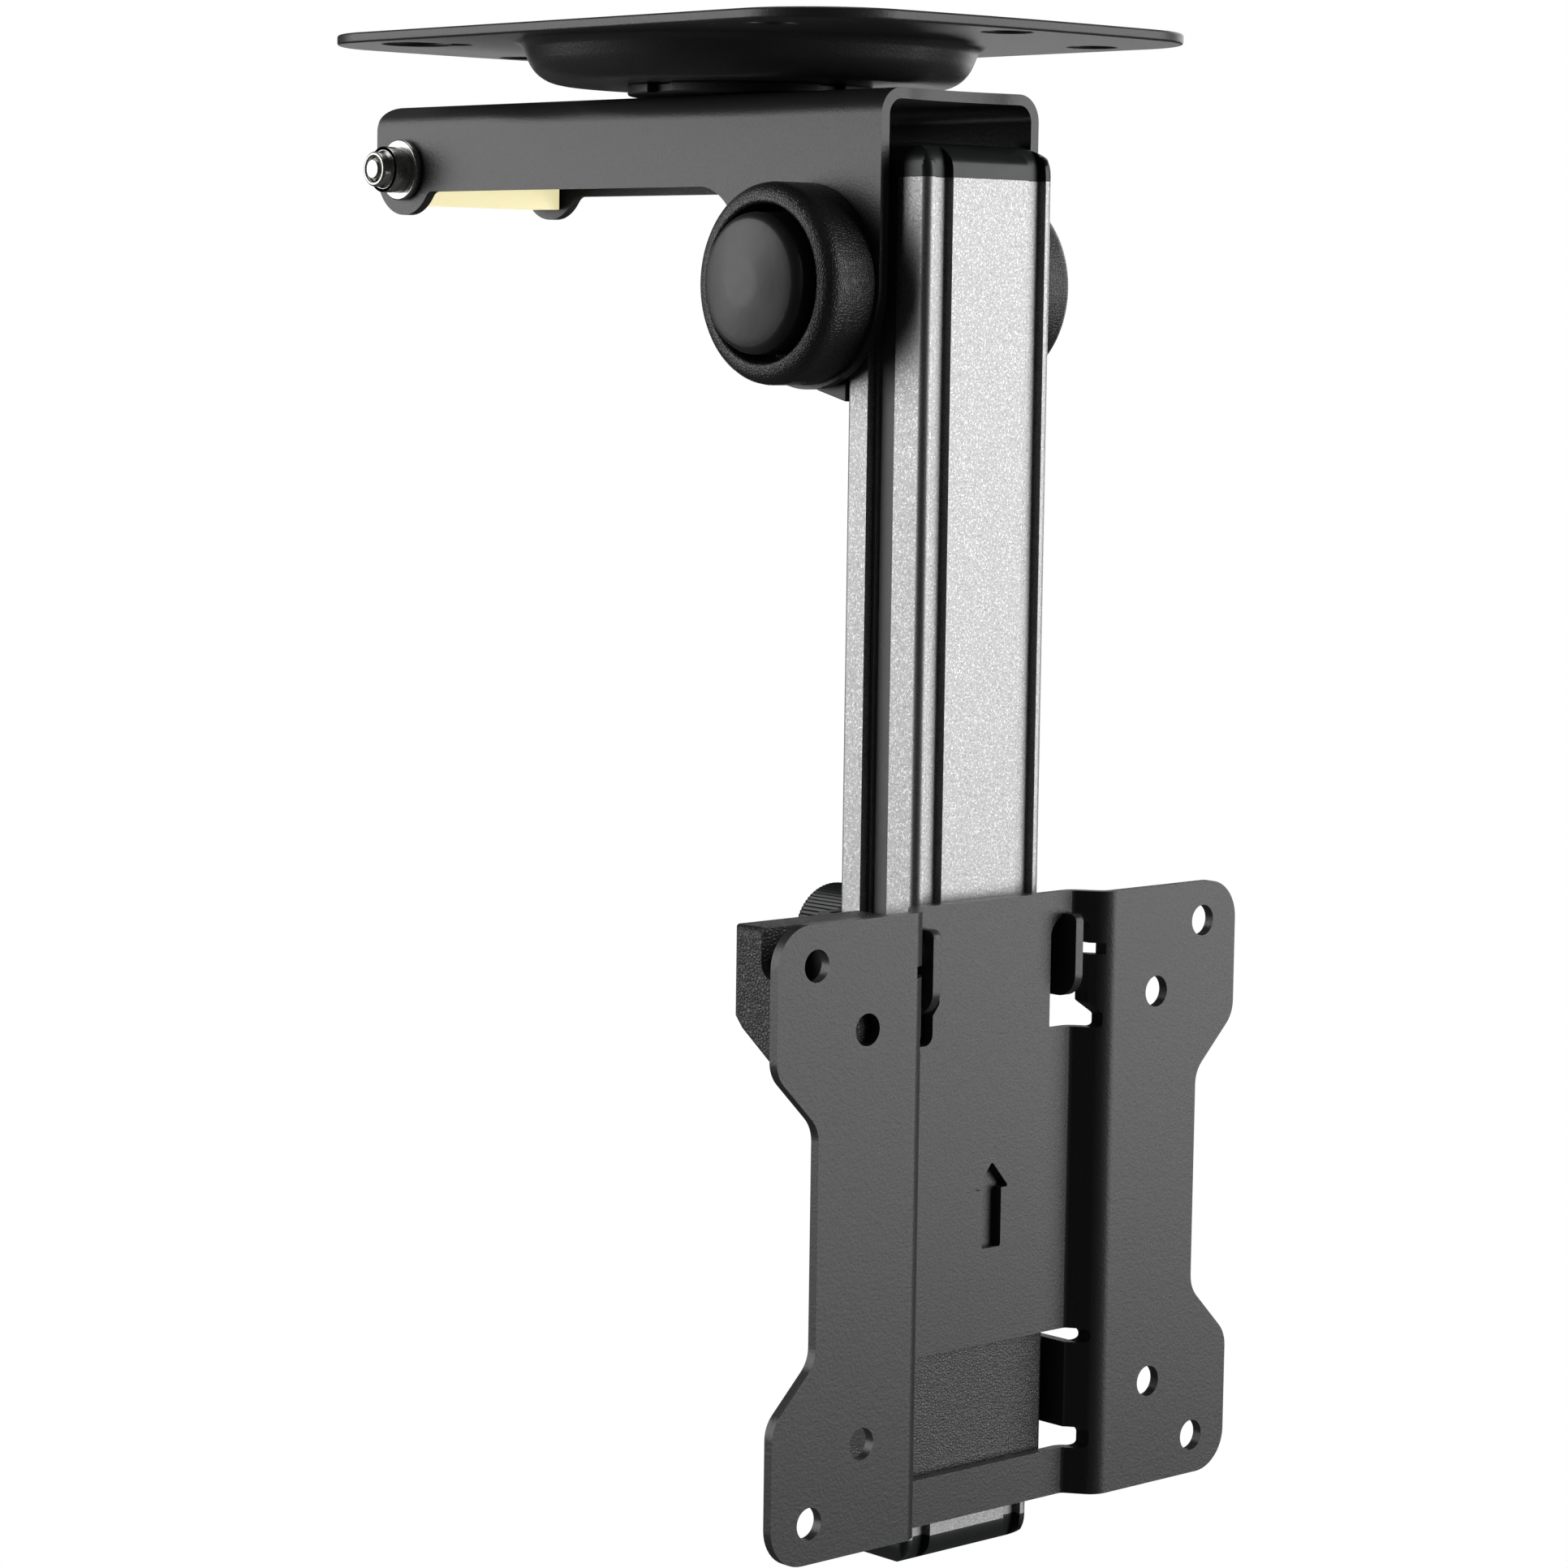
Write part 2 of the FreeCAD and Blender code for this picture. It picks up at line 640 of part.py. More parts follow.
def swivel_bolt():
    """The bolt that the channel turns on, with a round head and a thicker neck in the dome's hole."""
    made = body("swivel_bolt")
    profile = sketch(made, "swivel_bolt_profile", "XZ_Plane")
    top = "Dim.swivel_head_rise - Dim.dome_depth"
    stack = "Dim.friction_sheet + Dim.washer_sheet + Dim.disc_spring_rise + Dim.disc_spring_sheet"
    bottom = f"-({WEB_UNDER} + {stack} + Dim.swivel_nut_height + Dim.swivel_tail)"
    outline(profile, [
        ("0", bottom),
        ("Dim.swivel_bolt - Dim.swivel_chamfer", bottom),
        ("Dim.swivel_bolt", f"{bottom} + Dim.swivel_chamfer"),
        ("Dim.swivel_bolt", "-Dim.dome_depth - Dim.sheet"),
        ("Dim.swivel_neck", "-Dim.dome_depth - Dim.sheet"),
        ("Dim.swivel_neck", "-Dim.dome_depth"),
        ("Dim.swivel_head", "-Dim.dome_depth"),
        ("Dim.swivel_head", top, "Dim.swivel_head_round"),
        ("0", top),
    ])
    revolve(made, profile)


def swivel_disc():
    """The notched disc between the dome and the channel that the swivel rubs on."""
    made = body("swivel_disc")
    profile = sketch(made, "disc_profile", "XY_Plane", offset=f"-({SWIVEL_TOP} + Dim.disc_sheet)")
    circle(profile, "0", "0", "Dim.disc_radius")
    circle(profile, "0", "0", "Dim.swivel_bolt + Dim.running_clearance")
    pad(made, profile, "Dim.disc_sheet")
    notch = sketch(made, "disc_notch", "XY_Plane", offset=f"-({SWIVEL_TOP})")
    box_outline(notch, "Dim.disc_radius - Dim.disc_notch_depth", "Dim.disc_radius + Dim.cut_margin",
                "-Dim.disc_notch_half", "Dim.disc_notch_half")
    cut = pocket(made, notch, "Dim.disc_sheet")
    polar(made, cut, "Z_Axis", "Dim.disc_notch_count")


def hex_prism(owner, name, role, offset, half, bore, length, backwards=False):
    """A hexagon with a bore, standing on a plane of the body."""
    profile = sketch(owner, name, role, offset=offset)
    outline(profile, hex_corners(half))
    if bore:
        circle(profile, "0", "0", bore)
    return pad(owner, profile, length, backwards=backwards)


def swivel_stack():
    """What holds the channel up under the dome: friction washer, steel washer, disc spring and lock nut."""
    bore = "Dim.swivel_bolt + Dim.running_clearance"
    under_friction = f"{WEB_UNDER} + Dim.friction_sheet"
    node(ring("swivel_friction", "Dim.friction_radius", bore, "Dim.friction_sheet", ("0", "0", "0")),
         "swivel_friction_washer", ("0", "0", f"-({under_friction})"))
    node(ring("swivel_steel", "Dim.steel_washer_radius", bore, "Dim.washer_sheet", ("0", "0", "0")),
         "swivel_washer", ("0", "0", f"-({under_friction} + Dim.washer_sheet)"))
    spring_top = f"-({under_friction} + Dim.washer_sheet)"
    spring = body("swivel_disc_spring", ("0", "0", spring_top))
    profile = sketch(spring, "disc_spring_profile", "XZ_Plane")
    outline(profile, [
        (bore, "-Dim.disc_spring_rise - Dim.disc_spring_sheet"),
        ("Dim.disc_spring_radius", "-Dim.disc_spring_sheet"),
        ("Dim.disc_spring_radius", "0"),
        (bore, "-Dim.disc_spring_rise"),
    ])
    revolve(spring, profile)
    nut_top = f"{spring_top} - Dim.disc_spring_rise - Dim.disc_spring_sheet"
    nut = body("swivel_lock_nut", ("0", "0", nut_top))
    hex_prism(nut, "swivel_nut_profile", "XY_Plane", "0", "Dim.swivel_nut_half", bore,
              "Dim.swivel_nut_height", backwards=True)


def channel_bracket():
    """The folded steel channel: a web under the dome and two sides with a round lobe for the pivot."""
    made = body("channel_bracket", ("0", "0", f"-{WEB_TOP}"))
    deep = f"Dim.pivot_drop - {WEB_TOP} + Dim.lobe_radius"
    section = sketch(made, "channel_section", "XZ_Plane", offset="-Dim.channel_back")
    outline(section, [
        (f"-{CHANNEL_HALF}", f"-({deep})"),
        (f"-{CHANNEL_HALF} + Dim.sheet", f"-({deep})"),
        (f"-{CHANNEL_HALF} + Dim.sheet", "-Dim.sheet", "Dim.channel_bend - Dim.sheet"),
        (f"{CHANNEL_HALF} - Dim.sheet", "-Dim.sheet", "Dim.channel_bend - Dim.sheet"),
        (f"{CHANNEL_HALF} - Dim.sheet", f"-({deep})"),
        (CHANNEL_HALF, f"-({deep})"),
        (CHANNEL_HALF, "0", "Dim.channel_bend"),
        (f"-{CHANNEL_HALF}", "0", "Dim.channel_bend"),
    ])
    pad(made, section, "Dim.channel_back + Dim.channel_front")
    # Everything under the sides' straight edge, between the pivot's lobe and the stop bolt's lug, goes.
    lobe_back = f"{PIVOT_Y} + Dim.lobe_radius"
    lug_front = "Dim.stop_y - Dim.lug_radius"
    below = f"-({deep} + Dim.cut_margin)"
    gap = sketch(made, "side_gap_cut", "YZ_Plane")
    outline(gap, [
        (lobe_back, below),
        (lug_front, below),
        (lug_front, "-Dim.channel_side", "Dim.lug_fillet"),
        (lobe_back, "-Dim.channel_side", "Dim.lobe_fillet"),
    ])
    pocket(made, gap, CHANNEL_CUT, symmetric=True)
    lobe = sketch(made, "lobe_end_cut", "YZ_Plane")
    round_end(lobe, PIVOT_Y, f"{WEB_TOP} - Dim.pivot_drop", "Dim.lobe_radius", "Dim.cut_margin")
    pocket(made, lobe, CHANNEL_CUT, symmetric=True)
    lug = sketch(made, "lug_end_cut", "YZ_Plane")
    round_end(lug, "Dim.stop_y", "-Dim.stop_drop", "Dim.lug_radius", deep)
    pocket(made, lug, CHANNEL_CUT, symmetric=True)
    corner = sketch(made, "far_corner_cut", "YZ_Plane")
    corner_cut(corner, "Dim.channel_back", "0", "Dim.channel_top_corner")
    pocket(made, corner, CHANNEL_CUT, symmetric=True)
    scoop = sketch(made, "front_scoop_cut", "XY_Plane")
    outline(scoop, [
        (f"-{CHANNEL_HALF} + Dim.channel_bend", "-Dim.channel_front - Dim.cut_margin"),
        (f"{CHANNEL_HALF} - Dim.channel_bend", "-Dim.channel_front - Dim.cut_margin"),
        (f"{CHANNEL_HALF} - Dim.channel_bend", "-Dim.channel_front"),
        ("0", "-Dim.channel_front + Dim.front_scoop", "Dim.front_scoop_round"),
        (f"-{CHANNEL_HALF} + Dim.channel_bend", "-Dim.channel_front"),
    ])
    pocket(made, scoop, "Dim.sheet")
    bore = sketch(made, "web_bore", "XY_Plane")
    circle(bore, "0", "0", "Dim.swivel_bolt + Dim.running_clearance")
    pocket(made, bore, "Dim.sheet")
    holes = sketch(made, "side_bores", "YZ_Plane")
    circle(holes, PIVOT_Y, f"{WEB_TOP} - Dim.pivot_drop", "Dim.pivot_bolt + Dim.running_clearance")
    circle(holes, "Dim.stop_y", "-Dim.stop_drop", "Dim.stop_bolt + Dim.running_clearance")
    pocket(made, holes, CHANNEL_CUT, symmetric=True)


STOP_AT = ("0", "Dim.stop_y", f"-({WEB_TOP} + Dim.stop_drop)")


def stop_bolt():
    """The bolt across the channel's far end, with its head on the right."""
    made = body("stop_bolt", STOP_AT)
    reach = f"({CHANNEL_HALF} + Dim.washer_sheet)"
    shank = sketch(made, "stop_shank", "YZ_Plane", offset=f"-({reach} + Dim.stop_nut_height + Dim.bolt_tail)")
    circle(shank, "0", "0", "Dim.stop_bolt")
    pad(made, shank, f"2 * {reach} + Dim.stop_nut_height + Dim.bolt_tail")
    hex_prism(made, "stop_head", "YZ_Plane", reach, "Dim.stop_head_half", None, "Dim.stop_head_height")


def stop_fittings():
    """Washers, lock nut and the block that the folded knob comes to rest on."""
    bore = "Dim.stop_bolt + Dim.running_clearance"
    left = f"-({CHANNEL_HALF} + Dim.washer_sheet)"
    starts = (("left", left), ("right", CHANNEL_HALF))
    group("stop_washers", [
        ring("stop_washer_" + name, "Dim.stop_washer", bore, "Dim.washer_sheet", (start, *STOP_AT[1:]), "X")
        for name, start in starts
    ])
    nut = body("stop_nut", STOP_AT)
    hex_prism(nut, "stop_nut_profile", "YZ_Plane", left, "Dim.stop_head_half", bore, "Dim.stop_nut_height",
              backwards=True)
    block = body("bumper_pad", STOP_AT)
    profile = sketch(block, "bumper_profile", "YZ_Plane")
    box_outline(profile, "-Dim.pad_front", "Dim.pad_back", "-Dim.pad_low", "Dim.pad_high")
    circle(profile, "0", "0", bore)
    pad(block, profile, f"2 * ({CHANNEL_HALF} - Dim.sheet - Dim.side_gap)", symmetric=True)


PIVOT_AT = ("0", PIVOT_Y, PIVOT_Z)


def pivot_cover(side, sign):
    """One round plastic cover over the end of the pivot bolt, a cup with a heavily rounded rim."""
    made = body(f"{side}_pivot_cover", PIVOT_AT)
    profile = sketch(made, f"cover_profile_{side}", "XY_Plane")
    face = f"{sign}{CHANNEL_HALF}"
    grow = f"{sign}1"
    bore = "Dim.pivot_bolt + Dim.running_clearance"
    outline(profile, [
        (face, bore),
        (face, "Dim.cover_radius"),
        (f"{face} + {grow} * Dim.cover_length", "Dim.cover_radius", "Dim.cover_round"),
        (f"{face} + {grow} * Dim.cover_length", "Dim.cover_bore", "Dim.cover_lip_round"),
        (f"{face} + {grow} * Dim.cover_floor", "Dim.cover_bore"),
        (f"{face} + {grow} * Dim.cover_floor", bore),
    ])
    revolve(made, profile, "H_Axis")


def pivot_cap(side, sign):
    """The domed cap that closes a pivot cover, with a skirt that stands on the cover's floor."""
    made = body(f"{side}_pivot_cap", PIVOT_AT)
    profile = sketch(made, f"cap_profile_{side}", "XY_Plane")
    floor = f"{sign}({CHANNEL_HALF} + Dim.cover_floor)"
    grow = f"{sign}1"
    inner = "Dim.cap_radius - Dim.cap_wall"
    outline(profile, [
        (floor, inner),
        (floor, "Dim.cap_radius"),
        (f"{floor} + {grow} * (Dim.cap_length - Dim.cap_dome)", "Dim.cap_radius", "Dim.cap_round"),
        (f"{floor} + {grow} * Dim.cap_length", "0"),
        (f"{floor} + {grow} * (Dim.cap_length - Dim.cap_wall)", "0"),
        (f"{floor} + {grow} * (Dim.cap_length - Dim.cap_dome - Dim.cap_wall)", inner),
    ])
    revolve(made, profile, "H_Axis")


def pivot_fittings():
    """The pivot bolt with its head on the left, two washers and the lock nut, all inside the caps."""
    bore = "Dim.pivot_bolt + Dim.running_clearance"
    seat = f"({CHANNEL_HALF} + Dim.cover_floor + Dim.washer_sheet)"
    bolt = body("pivot_bolt", PIVOT_AT)
    shank = sketch(bolt, "pivot_shank", "YZ_Plane", offset=f"-{seat}")
    circle(shank, "0", "0", "Dim.pivot_bolt")
    pad(bolt, shank, f"2 * {seat} + Dim.pivot_nut_height + Dim.bolt_tail")
    hex_prism(bolt, "pivot_head", "YZ_Plane", f"-{seat}", "Dim.pivot_head_half", None,
              "Dim.pivot_head_height", backwards=True)
    nut = body("pivot_nut", PIVOT_AT)
    hex_prism(nut, "pivot_nut_profile", "YZ_Plane", seat, "Dim.pivot_head_half", bore, "Dim.pivot_nut_height")
    starts = (("left", f"-{seat}"), ("right", f"{CHANNEL_HALF} + Dim.cover_floor"))
    group("pivot_washers", [
        ring("pivot_washer_" + name, "Dim.pivot_washer", bore, "Dim.washer_sheet", (start, *PIVOT_AT[1:]), "X")
        for name, start in starts
    ])


def arm_section(made):
    """The arm's outline about its middle: two front grooves, a slot in each side, a shallow rear slot."""
    right = "Dim.arm_width / 2"
    back = "Dim.arm_depth / 2"
    floor = "-Dim.arm_depth / 2 + Dim.groove_depth"
    inner = "Dim.arm_width / 2 - Dim.slot_depth"
    low = "Dim.slot_shift - Dim.slot_width / 2"
    high = "Dim.slot_shift + Dim.slot_width / 2"
    rear = "Dim.rear_slot_width / 2"
    half = [(GROOVE_IN, f"-{back}"), (GROOVE_IN, floor), (GROOVE_OUT, floor), (GROOVE_OUT, f"-{back}"),
            (right, f"-{back}", "Dim.arm_corner"),
            (right, low), (inner, low), (inner, high), (right, high),
            (right, back, "Dim.arm_corner"), (rear, back), (rear, f"{back} - Dim.rear_slot_depth")]
    mirrored = [(f"-({corner[0]})",) + corner[1:] for corner in reversed(half)]
    outline(made, half + mirrored)


def arm_extrusion():
    """The aluminium arm, one length of extrusion with a chamber inside."""
    made = body("arm_extrusion", ("0", ARM_Y, ARM_BOTTOM_Z))
    section = sketch(made, "arm_section", "XY_Plane")
    arm_section(section)
    half_x = "Dim.chamber_width / 2"
    half_y = "Dim.chamber_depth / 2"
    box_outline(section, f"-{half_x}", half_x, f"-{half_y}", half_y, "Dim.chamber_round")
    pad(made, section, "Dim.arm_length")
    screws = sketch(made, "hinge_screw_bores", "XZ_Plane")
    for height in hinge_screw_heights():
        circle(screws, "0", f"{height} - ({ARM_BOTTOM_Z})", "Dim.hinge_screw + Dim.running_clearance")
    pocket(made, screws, "Dim.arm_depth")


def hinge_screw_heights():
    """Heights of the two screws that hold the hinge block to the arm."""
    return [f"({PIVOT_Z} - Dim.hinge_screw_shift {sign} Dim.hinge_screw_pitch / 2)" for sign in ("+", "-")]


def arm_cap(name, height, at, upwards):
    """A plastic end cap with rounded ends, the arm's front grooves and a hollow plug for its chamber."""
    made = body(name, at)
    face = sketch(made, name + "_face", "XY_Plane")
    half_x = "Dim.arm_width / 2"
    half_y = "Dim.arm_depth / 2"
    box_outline(face, f"-{half_x}", half_x, f"-{half_y}", half_y, "Dim.arm_corner")
    pad(made, face, height, backwards=not upwards)
    sign_z = "" if upwards else "-"
    far = f"{sign_z}{height}"
    for plane, half, radius, across in (("XZ_Plane", half_x, "Dim.cap_shoulder", "Dim.arm_depth"),
                                        ("YZ_Plane", half_y, "Dim.cap_brow", "Dim.arm_width")):
        for sign in ("", "-"):
            shoulder = sketch(made, f"{name}_shoulder_{plane[:2]}_{len(sign)}", plane)
            corner_cut(shoulder, f"{sign}({half})", far, radius, sign, sign_z)
            pocket(made, shoulder, f"{across} + Dim.cut_margin", symmetric=True)
    for sign in ("", "-"):
        groove = sketch(made, f"{name}_groove_{len(sign)}", "XY_Plane", offset=far if upwards else "0")
        box_outline(groove, f"{sign}{GROOVE_IN}", f"{sign}{GROOVE_OUT}", f"-({half_y}) - Dim.cut_margin",
                    f"-({half_y}) + Dim.groove_depth")
        pocket(made, groove, height)
    plug = sketch(made, name + "_plug", "XY_Plane")
    half_x = "Dim.chamber_width / 2 - Dim.cap_plug_play"
    half_y = "Dim.chamber_depth / 2 - Dim.cap_plug_play"
    box_outline(plug, f"-({half_x})", half_x, f"-({half_y})", half_y, "Dim.chamber_round")
    thin_x = f"{half_x} - Dim.cap_plug_wall"
    thin_y = f"{half_y} - Dim.cap_plug_wall"
    box_outline(plug, f"-({thin_x})", thin_x, f"-({thin_y})", thin_y)
    pad(made, plug, "Dim.cap_plug_depth", backwards=upwards)


def slot_strip(side, sign):
    """The black liner of one side slot, an L that covers the slot's floor and rear wall."""
    made = body(f"{side}_slot_strip", ("0", ARM_Y, ARM_BOTTOM_Z))
    profile = sketch(made, f"strip_profile_{side}", "XY_Plane")
    floor = f"{sign}(Dim.arm_width / 2 - Dim.slot_depth)"
    grow = f"{sign}1"
    low = "Dim.slot_shift - Dim.slot_width / 2 + Dim.strip_play"
    high = "Dim.slot_shift + Dim.slot_width / 2 - Dim.strip_play"
    outline(profile, [
        (floor, low),
        (f"{floor} + {grow} * Dim.strip_sheet", low),
        (f"{floor} + {grow} * Dim.strip_sheet", f"{high} - Dim.strip_sheet"),
        (f"{floor} + {grow} * Dim.strip_lip", f"{high} - Dim.strip_sheet"),
        (f"{floor} + {grow} * Dim.strip_lip", high),
        (floor, high),
    ])
    pad(made, profile, "Dim.arm_length")


def hinge_block():
    """The block behind the arm that turns on the pivot bolt between the channel's sides."""
    made = body("hinge_block", PIVOT_AT)
    profile = sketch(made, "hinge_profile", "YZ_Plane")
    outline(profile, [
        ("-Dim.pivot_to_arm", "-Dim.hinge_low"),
        ("Dim.hinge_toe", "-Dim.hinge_toe_drop", "Dim.hinge_toe_round"),
        ("Dim.hinge_nose", "-Dim.hinge_nose_drop", "Dim.hinge_nose_round"),
        ("Dim.hinge_nose", "Dim.hinge_nose", "Dim.hinge_nose_round"),
        ("-Dim.pivot_to_arm", "Dim.hinge_high"),
    ])
    pad(made, profile, "Dim.arm_width", symmetric=True)
    bore = sketch(made, "hinge_bore", "YZ_Plane")
    circle(bore, "0", "0", "Dim.pivot_bolt + Dim.running_clearance")
    pocket(made, bore, "Dim.arm_width", symmetric=True)
    screws = sketch(made, "hinge_block_bores", "XZ_Plane", offset="Dim.pivot_to_arm")
    for height in hinge_screw_heights():
        circle(screws, "0", f"{height} + Dim.pivot_drop", "Dim.hinge_screw + Dim.running_clearance")
    pocket(made, screws, "Dim.hinge_screw_bore")
    shafts = []
    for index, height in enumerate(hinge_screw_heights()):
        shafts.append(hinge_screw(index, height))
    group("hinge_screws", shafts)


def hinge_screw(index, height):
    """One pan-headed screw from the arm's chamber into the hinge block."""
    wall = "(Dim.arm_depth / 2 - Dim.chamber_depth / 2 - Dim.rear_slot_depth)"
    start = f"{PIVOT_Y} - Dim.pivot_to_arm - {wall} - Dim.rear_slot_depth"
    shank = doc.addObject("Part::Cylinder", f"hinge_shank_{index}")
    bind(shank, Radius="Dim.hinge_screw", Height="Dim.hinge_screw_length")
    head = doc.addObject("Part::Cylinder", f"hinge_head_{index}")
    bind(head, Radius="Dim.hinge_screw_head", Height="Dim.hinge_screw_head_height",
         Placement__Base__z="-Dim.hinge_screw_head_height")
    made = doc.addObject("Part::Fuse", f"hinge_screw_{index}")
    made.Base = shank
    made.Tool = head
    made.Placement.Rotation = FreeCAD.Rotation(0, 0, -90)
    return place(made, "0", start, height)


def hinge_washers():
    """Friction washers between the hinge block and the channel's sides."""
    bore = "Dim.pivot_bolt + Dim.running_clearance"
    half = "Dim.arm_width / 2"
    group("hinge_friction_washers", [
        ring("hinge_washer_left", "Dim.hinge_washer_radius", bore, "Dim.hinge_washer_sheet",
             (f"-({half} + Dim.hinge_washer_sheet)",) + PIVOT_AT[1:], "X"),
        ring("hinge_washer_right", "Dim.hinge_washer_radius", bore, "Dim.hinge_washer_sheet",
             (half,) + PIVOT_AT[1:], "X"),
    ])


CARRIAGE_AT = ("0", PLATE_Y, PLATE_Z)


def carriage_liner():
    """The moulded sleeve that slides on the arm, with a rib in each side slot."""
    made = body("carriage_liner", CARRIAGE_AT)
    section = sketch(made, "liner_section", "XY_Plane", offset=f"Dim.liner_low - {PLATE_TOP}")
    box_outline(section, f"-{LINER_HALF}", LINER_HALF, LINER_FRONT, LINER_BACK, "Dim.liner_corner")
    inner = "Dim.arm_width / 2 + Dim.slide_clearance"
    tip = f"{inner} - Dim.liner_rib_depth"
    front = f"{ARM_FRONT} - Dim.slide_clearance"
    back = f"{ARM_FRONT} + Dim.arm_depth + Dim.slide_clearance"
    middle = f"{ARM_FRONT} + Dim.arm_depth / 2 + Dim.slot_shift"
    low = f"{middle} - Dim.slot_width / 2 + Dim.liner_rib_play"
    high = f"{middle} + Dim.slot_width / 2 - Dim.liner_rib_play - Dim.strip_sheet"
    half = [(inner, front), (inner, low), (tip, low), (tip, high), (inner, high), (inner, back)]
    outline(section, half + [(f"-({corner[0]})", corner[1]) for corner in reversed(half)])
    pad(made, section, "Dim.vesa_height - Dim.liner_low - Dim.liner_high")
    hole = sketch(made, "liner_pad_hole", "XZ_Plane", offset=f"-{LINER_BACK}", shift=("0", CLAMP_Z))
    circle(hole, "0", "0", "Dim.clamp_pad + Dim.slide_clearance")
    pocket(made, hole, "Dim.liner_back + Dim.cut_margin", backwards=True)


def carriage_bracket():
    """The folded steel U round the sleeve. Its sides end above in two hooks that carry the plate."""
    made = body("carriage_bracket", CARRIAGE_AT)
    section = sketch(made, "bracket_section", "XY_Plane", offset=f"-{BRACKET_FOOT}")
    front = "(Dim.step_depth - Dim.hook_lip_sheet)"
    outline(section, [
        (f"-{BRACKET_HALF}", front),
        (f"-{LINER_HALF}", front),
        (f"-{LINER_HALF}", LINER_BACK, "Dim.bracket_bend - Dim.sheet"),
        (LINER_HALF, LINER_BACK, "Dim.bracket_bend - Dim.sheet"),
        (LINER_HALF, front),
        (BRACKET_HALF, front),
        (BRACKET_HALF, BRACKET_BACK, "Dim.bracket_bend"),
        (f"-{BRACKET_HALF}", BRACKET_BACK, "Dim.bracket_bend"),
    ])
    pad(made, section, f"{BRACKET_FOOT} + {BRACKET_TOP} + Dim.hook_lip")
    wide = f"2 * {BRACKET_HALF} + Dim.cut_margin"
    wall = f"{PLATE_BACK} + Dim.side_gap"
    below = sketch(made, "side_front_cut", "YZ_Plane")
    box_outline(below, f"{front} - Dim.cut_margin", f"{PLATE_BACK} + Dim.side_set_back",
                f"-{BRACKET_FOOT} - Dim.cut_margin", f"{BRACKET_TOP} - Dim.hook_height")
    pocket(made, below, wide, symmetric=True)
    notch = sketch(made, "hook_notch_cut", "YZ_Plane")
    box_outline(notch, f"{front} + Dim.hook_lip_sheet - Dim.side_gap", wall, BRACKET_TOP,
                f"{BRACKET_TOP} + Dim.hook_lip + Dim.cut_margin")
    pocket(made, notch, wide, symmetric=True)
    corners = (("top", f"{BRACKET_TOP} + Dim.hook_lip", "Dim.hook_top_round", ""),
               ("low", f"{BRACKET_TOP} - Dim.hook_height", "Dim.hook_low_round", "-"))
    for name, height, radius, sign in corners:
        rounding = sketch(made, f"hook_{name}_rounding", "YZ_Plane")
        corner_cut(rounding, front, height, radius, "-", sign)
        pocket(made, rounding, wide, symmetric=True)
    hole = sketch(made, "bracket_screw_hole", "XZ_Plane", offset=f"-{BRACKET_BACK}", shift=("0", CLAMP_Z))
    circle(hole, "0", "0", "Dim.clamp_screw + Dim.running_clearance")
    pocket(made, hole, "Dim.sheet + Dim.cut_margin", backwards=True)


def clamp_nut():
    """The weld nut on the bracket's back that the clamp screw turns in."""
    at = ("0", f"{PLATE_Y} + {BRACKET_BACK}", f"{PLATE_Z} + {CLAMP_Z}")
    made = body("clamp_nut", at)
    hex_prism(made, "clamp_nut_profile", "XZ_Plane", "0", "Dim.clamp_nut_half",
              "Dim.clamp_screw + Dim.running_clearance", "Dim.clamp_nut_height", backwards=True)


def clamp_knob():
    """The fluted knob behind the arm, and the screw with its pressure pad."""
    at = ("0", f"{PLATE_Y} + {KNOB_FRONT}", f"{PLATE_Z} + {CLAMP_Z}")
    made = body("clamp_knob", at)
    profile = sketch(made, "knob_profile", "XY_Plane")
    bore = "Dim.clamp_screw"
    outline(profile, [
        (bore, "0"),
        ("Dim.knob_shoulder", "0"),
        ("Dim.knob_radius", "Dim.knob_shoulder_height"),
        ("Dim.knob_radius", "Dim.knob_length", "Dim.knob_round"),
        ("0", "Dim.knob_length"),
        ("0", "Dim.knob_length - Dim.knob_end"),
        (bore, "Dim.knob_length - Dim.knob_end"),
    ])
    revolve(made, profile)
    flute = sketch(made, "knob_flute", "XZ_Plane", offset="-Dim.knob_length")
    circle(flute, "Dim.knob_radius + Dim.knob_groove_out", "0", "Dim.knob_groove")
    cut = pocket(made, flute, "Dim.knob_length", backwards=True)
    polar(made, cut, "Y_Axis", "Dim.knob_groove_count")
    start = f"({ARM_FRONT} + Dim.arm_depth + Dim.side_gap)"
    screw = body("clamp_screw", ("0", f"{PLATE_Y} + {start}", at[2]))
    lead = sketch(screw, "clamp_screw_profile", "XY_Plane")
    end = f"{KNOB_FRONT} - {start} + Dim.knob_length - Dim.knob_end"
    outline(lead, [
        ("0", "0"),
        ("Dim.clamp_pad", "0"),
        ("Dim.clamp_pad", "Dim.liner_back - Dim.side_gap"),
        ("Dim.clamp_screw", "Dim.liner_back - Dim.side_gap"),
        ("Dim.clamp_screw", end),
        ("0", end),
    ])
    revolve(screw, lead)


def below_top(drop):
    """A height counted down from the screen plate's top edge."""
    return f"({PLATE_TOP} - Dim.{drop})"


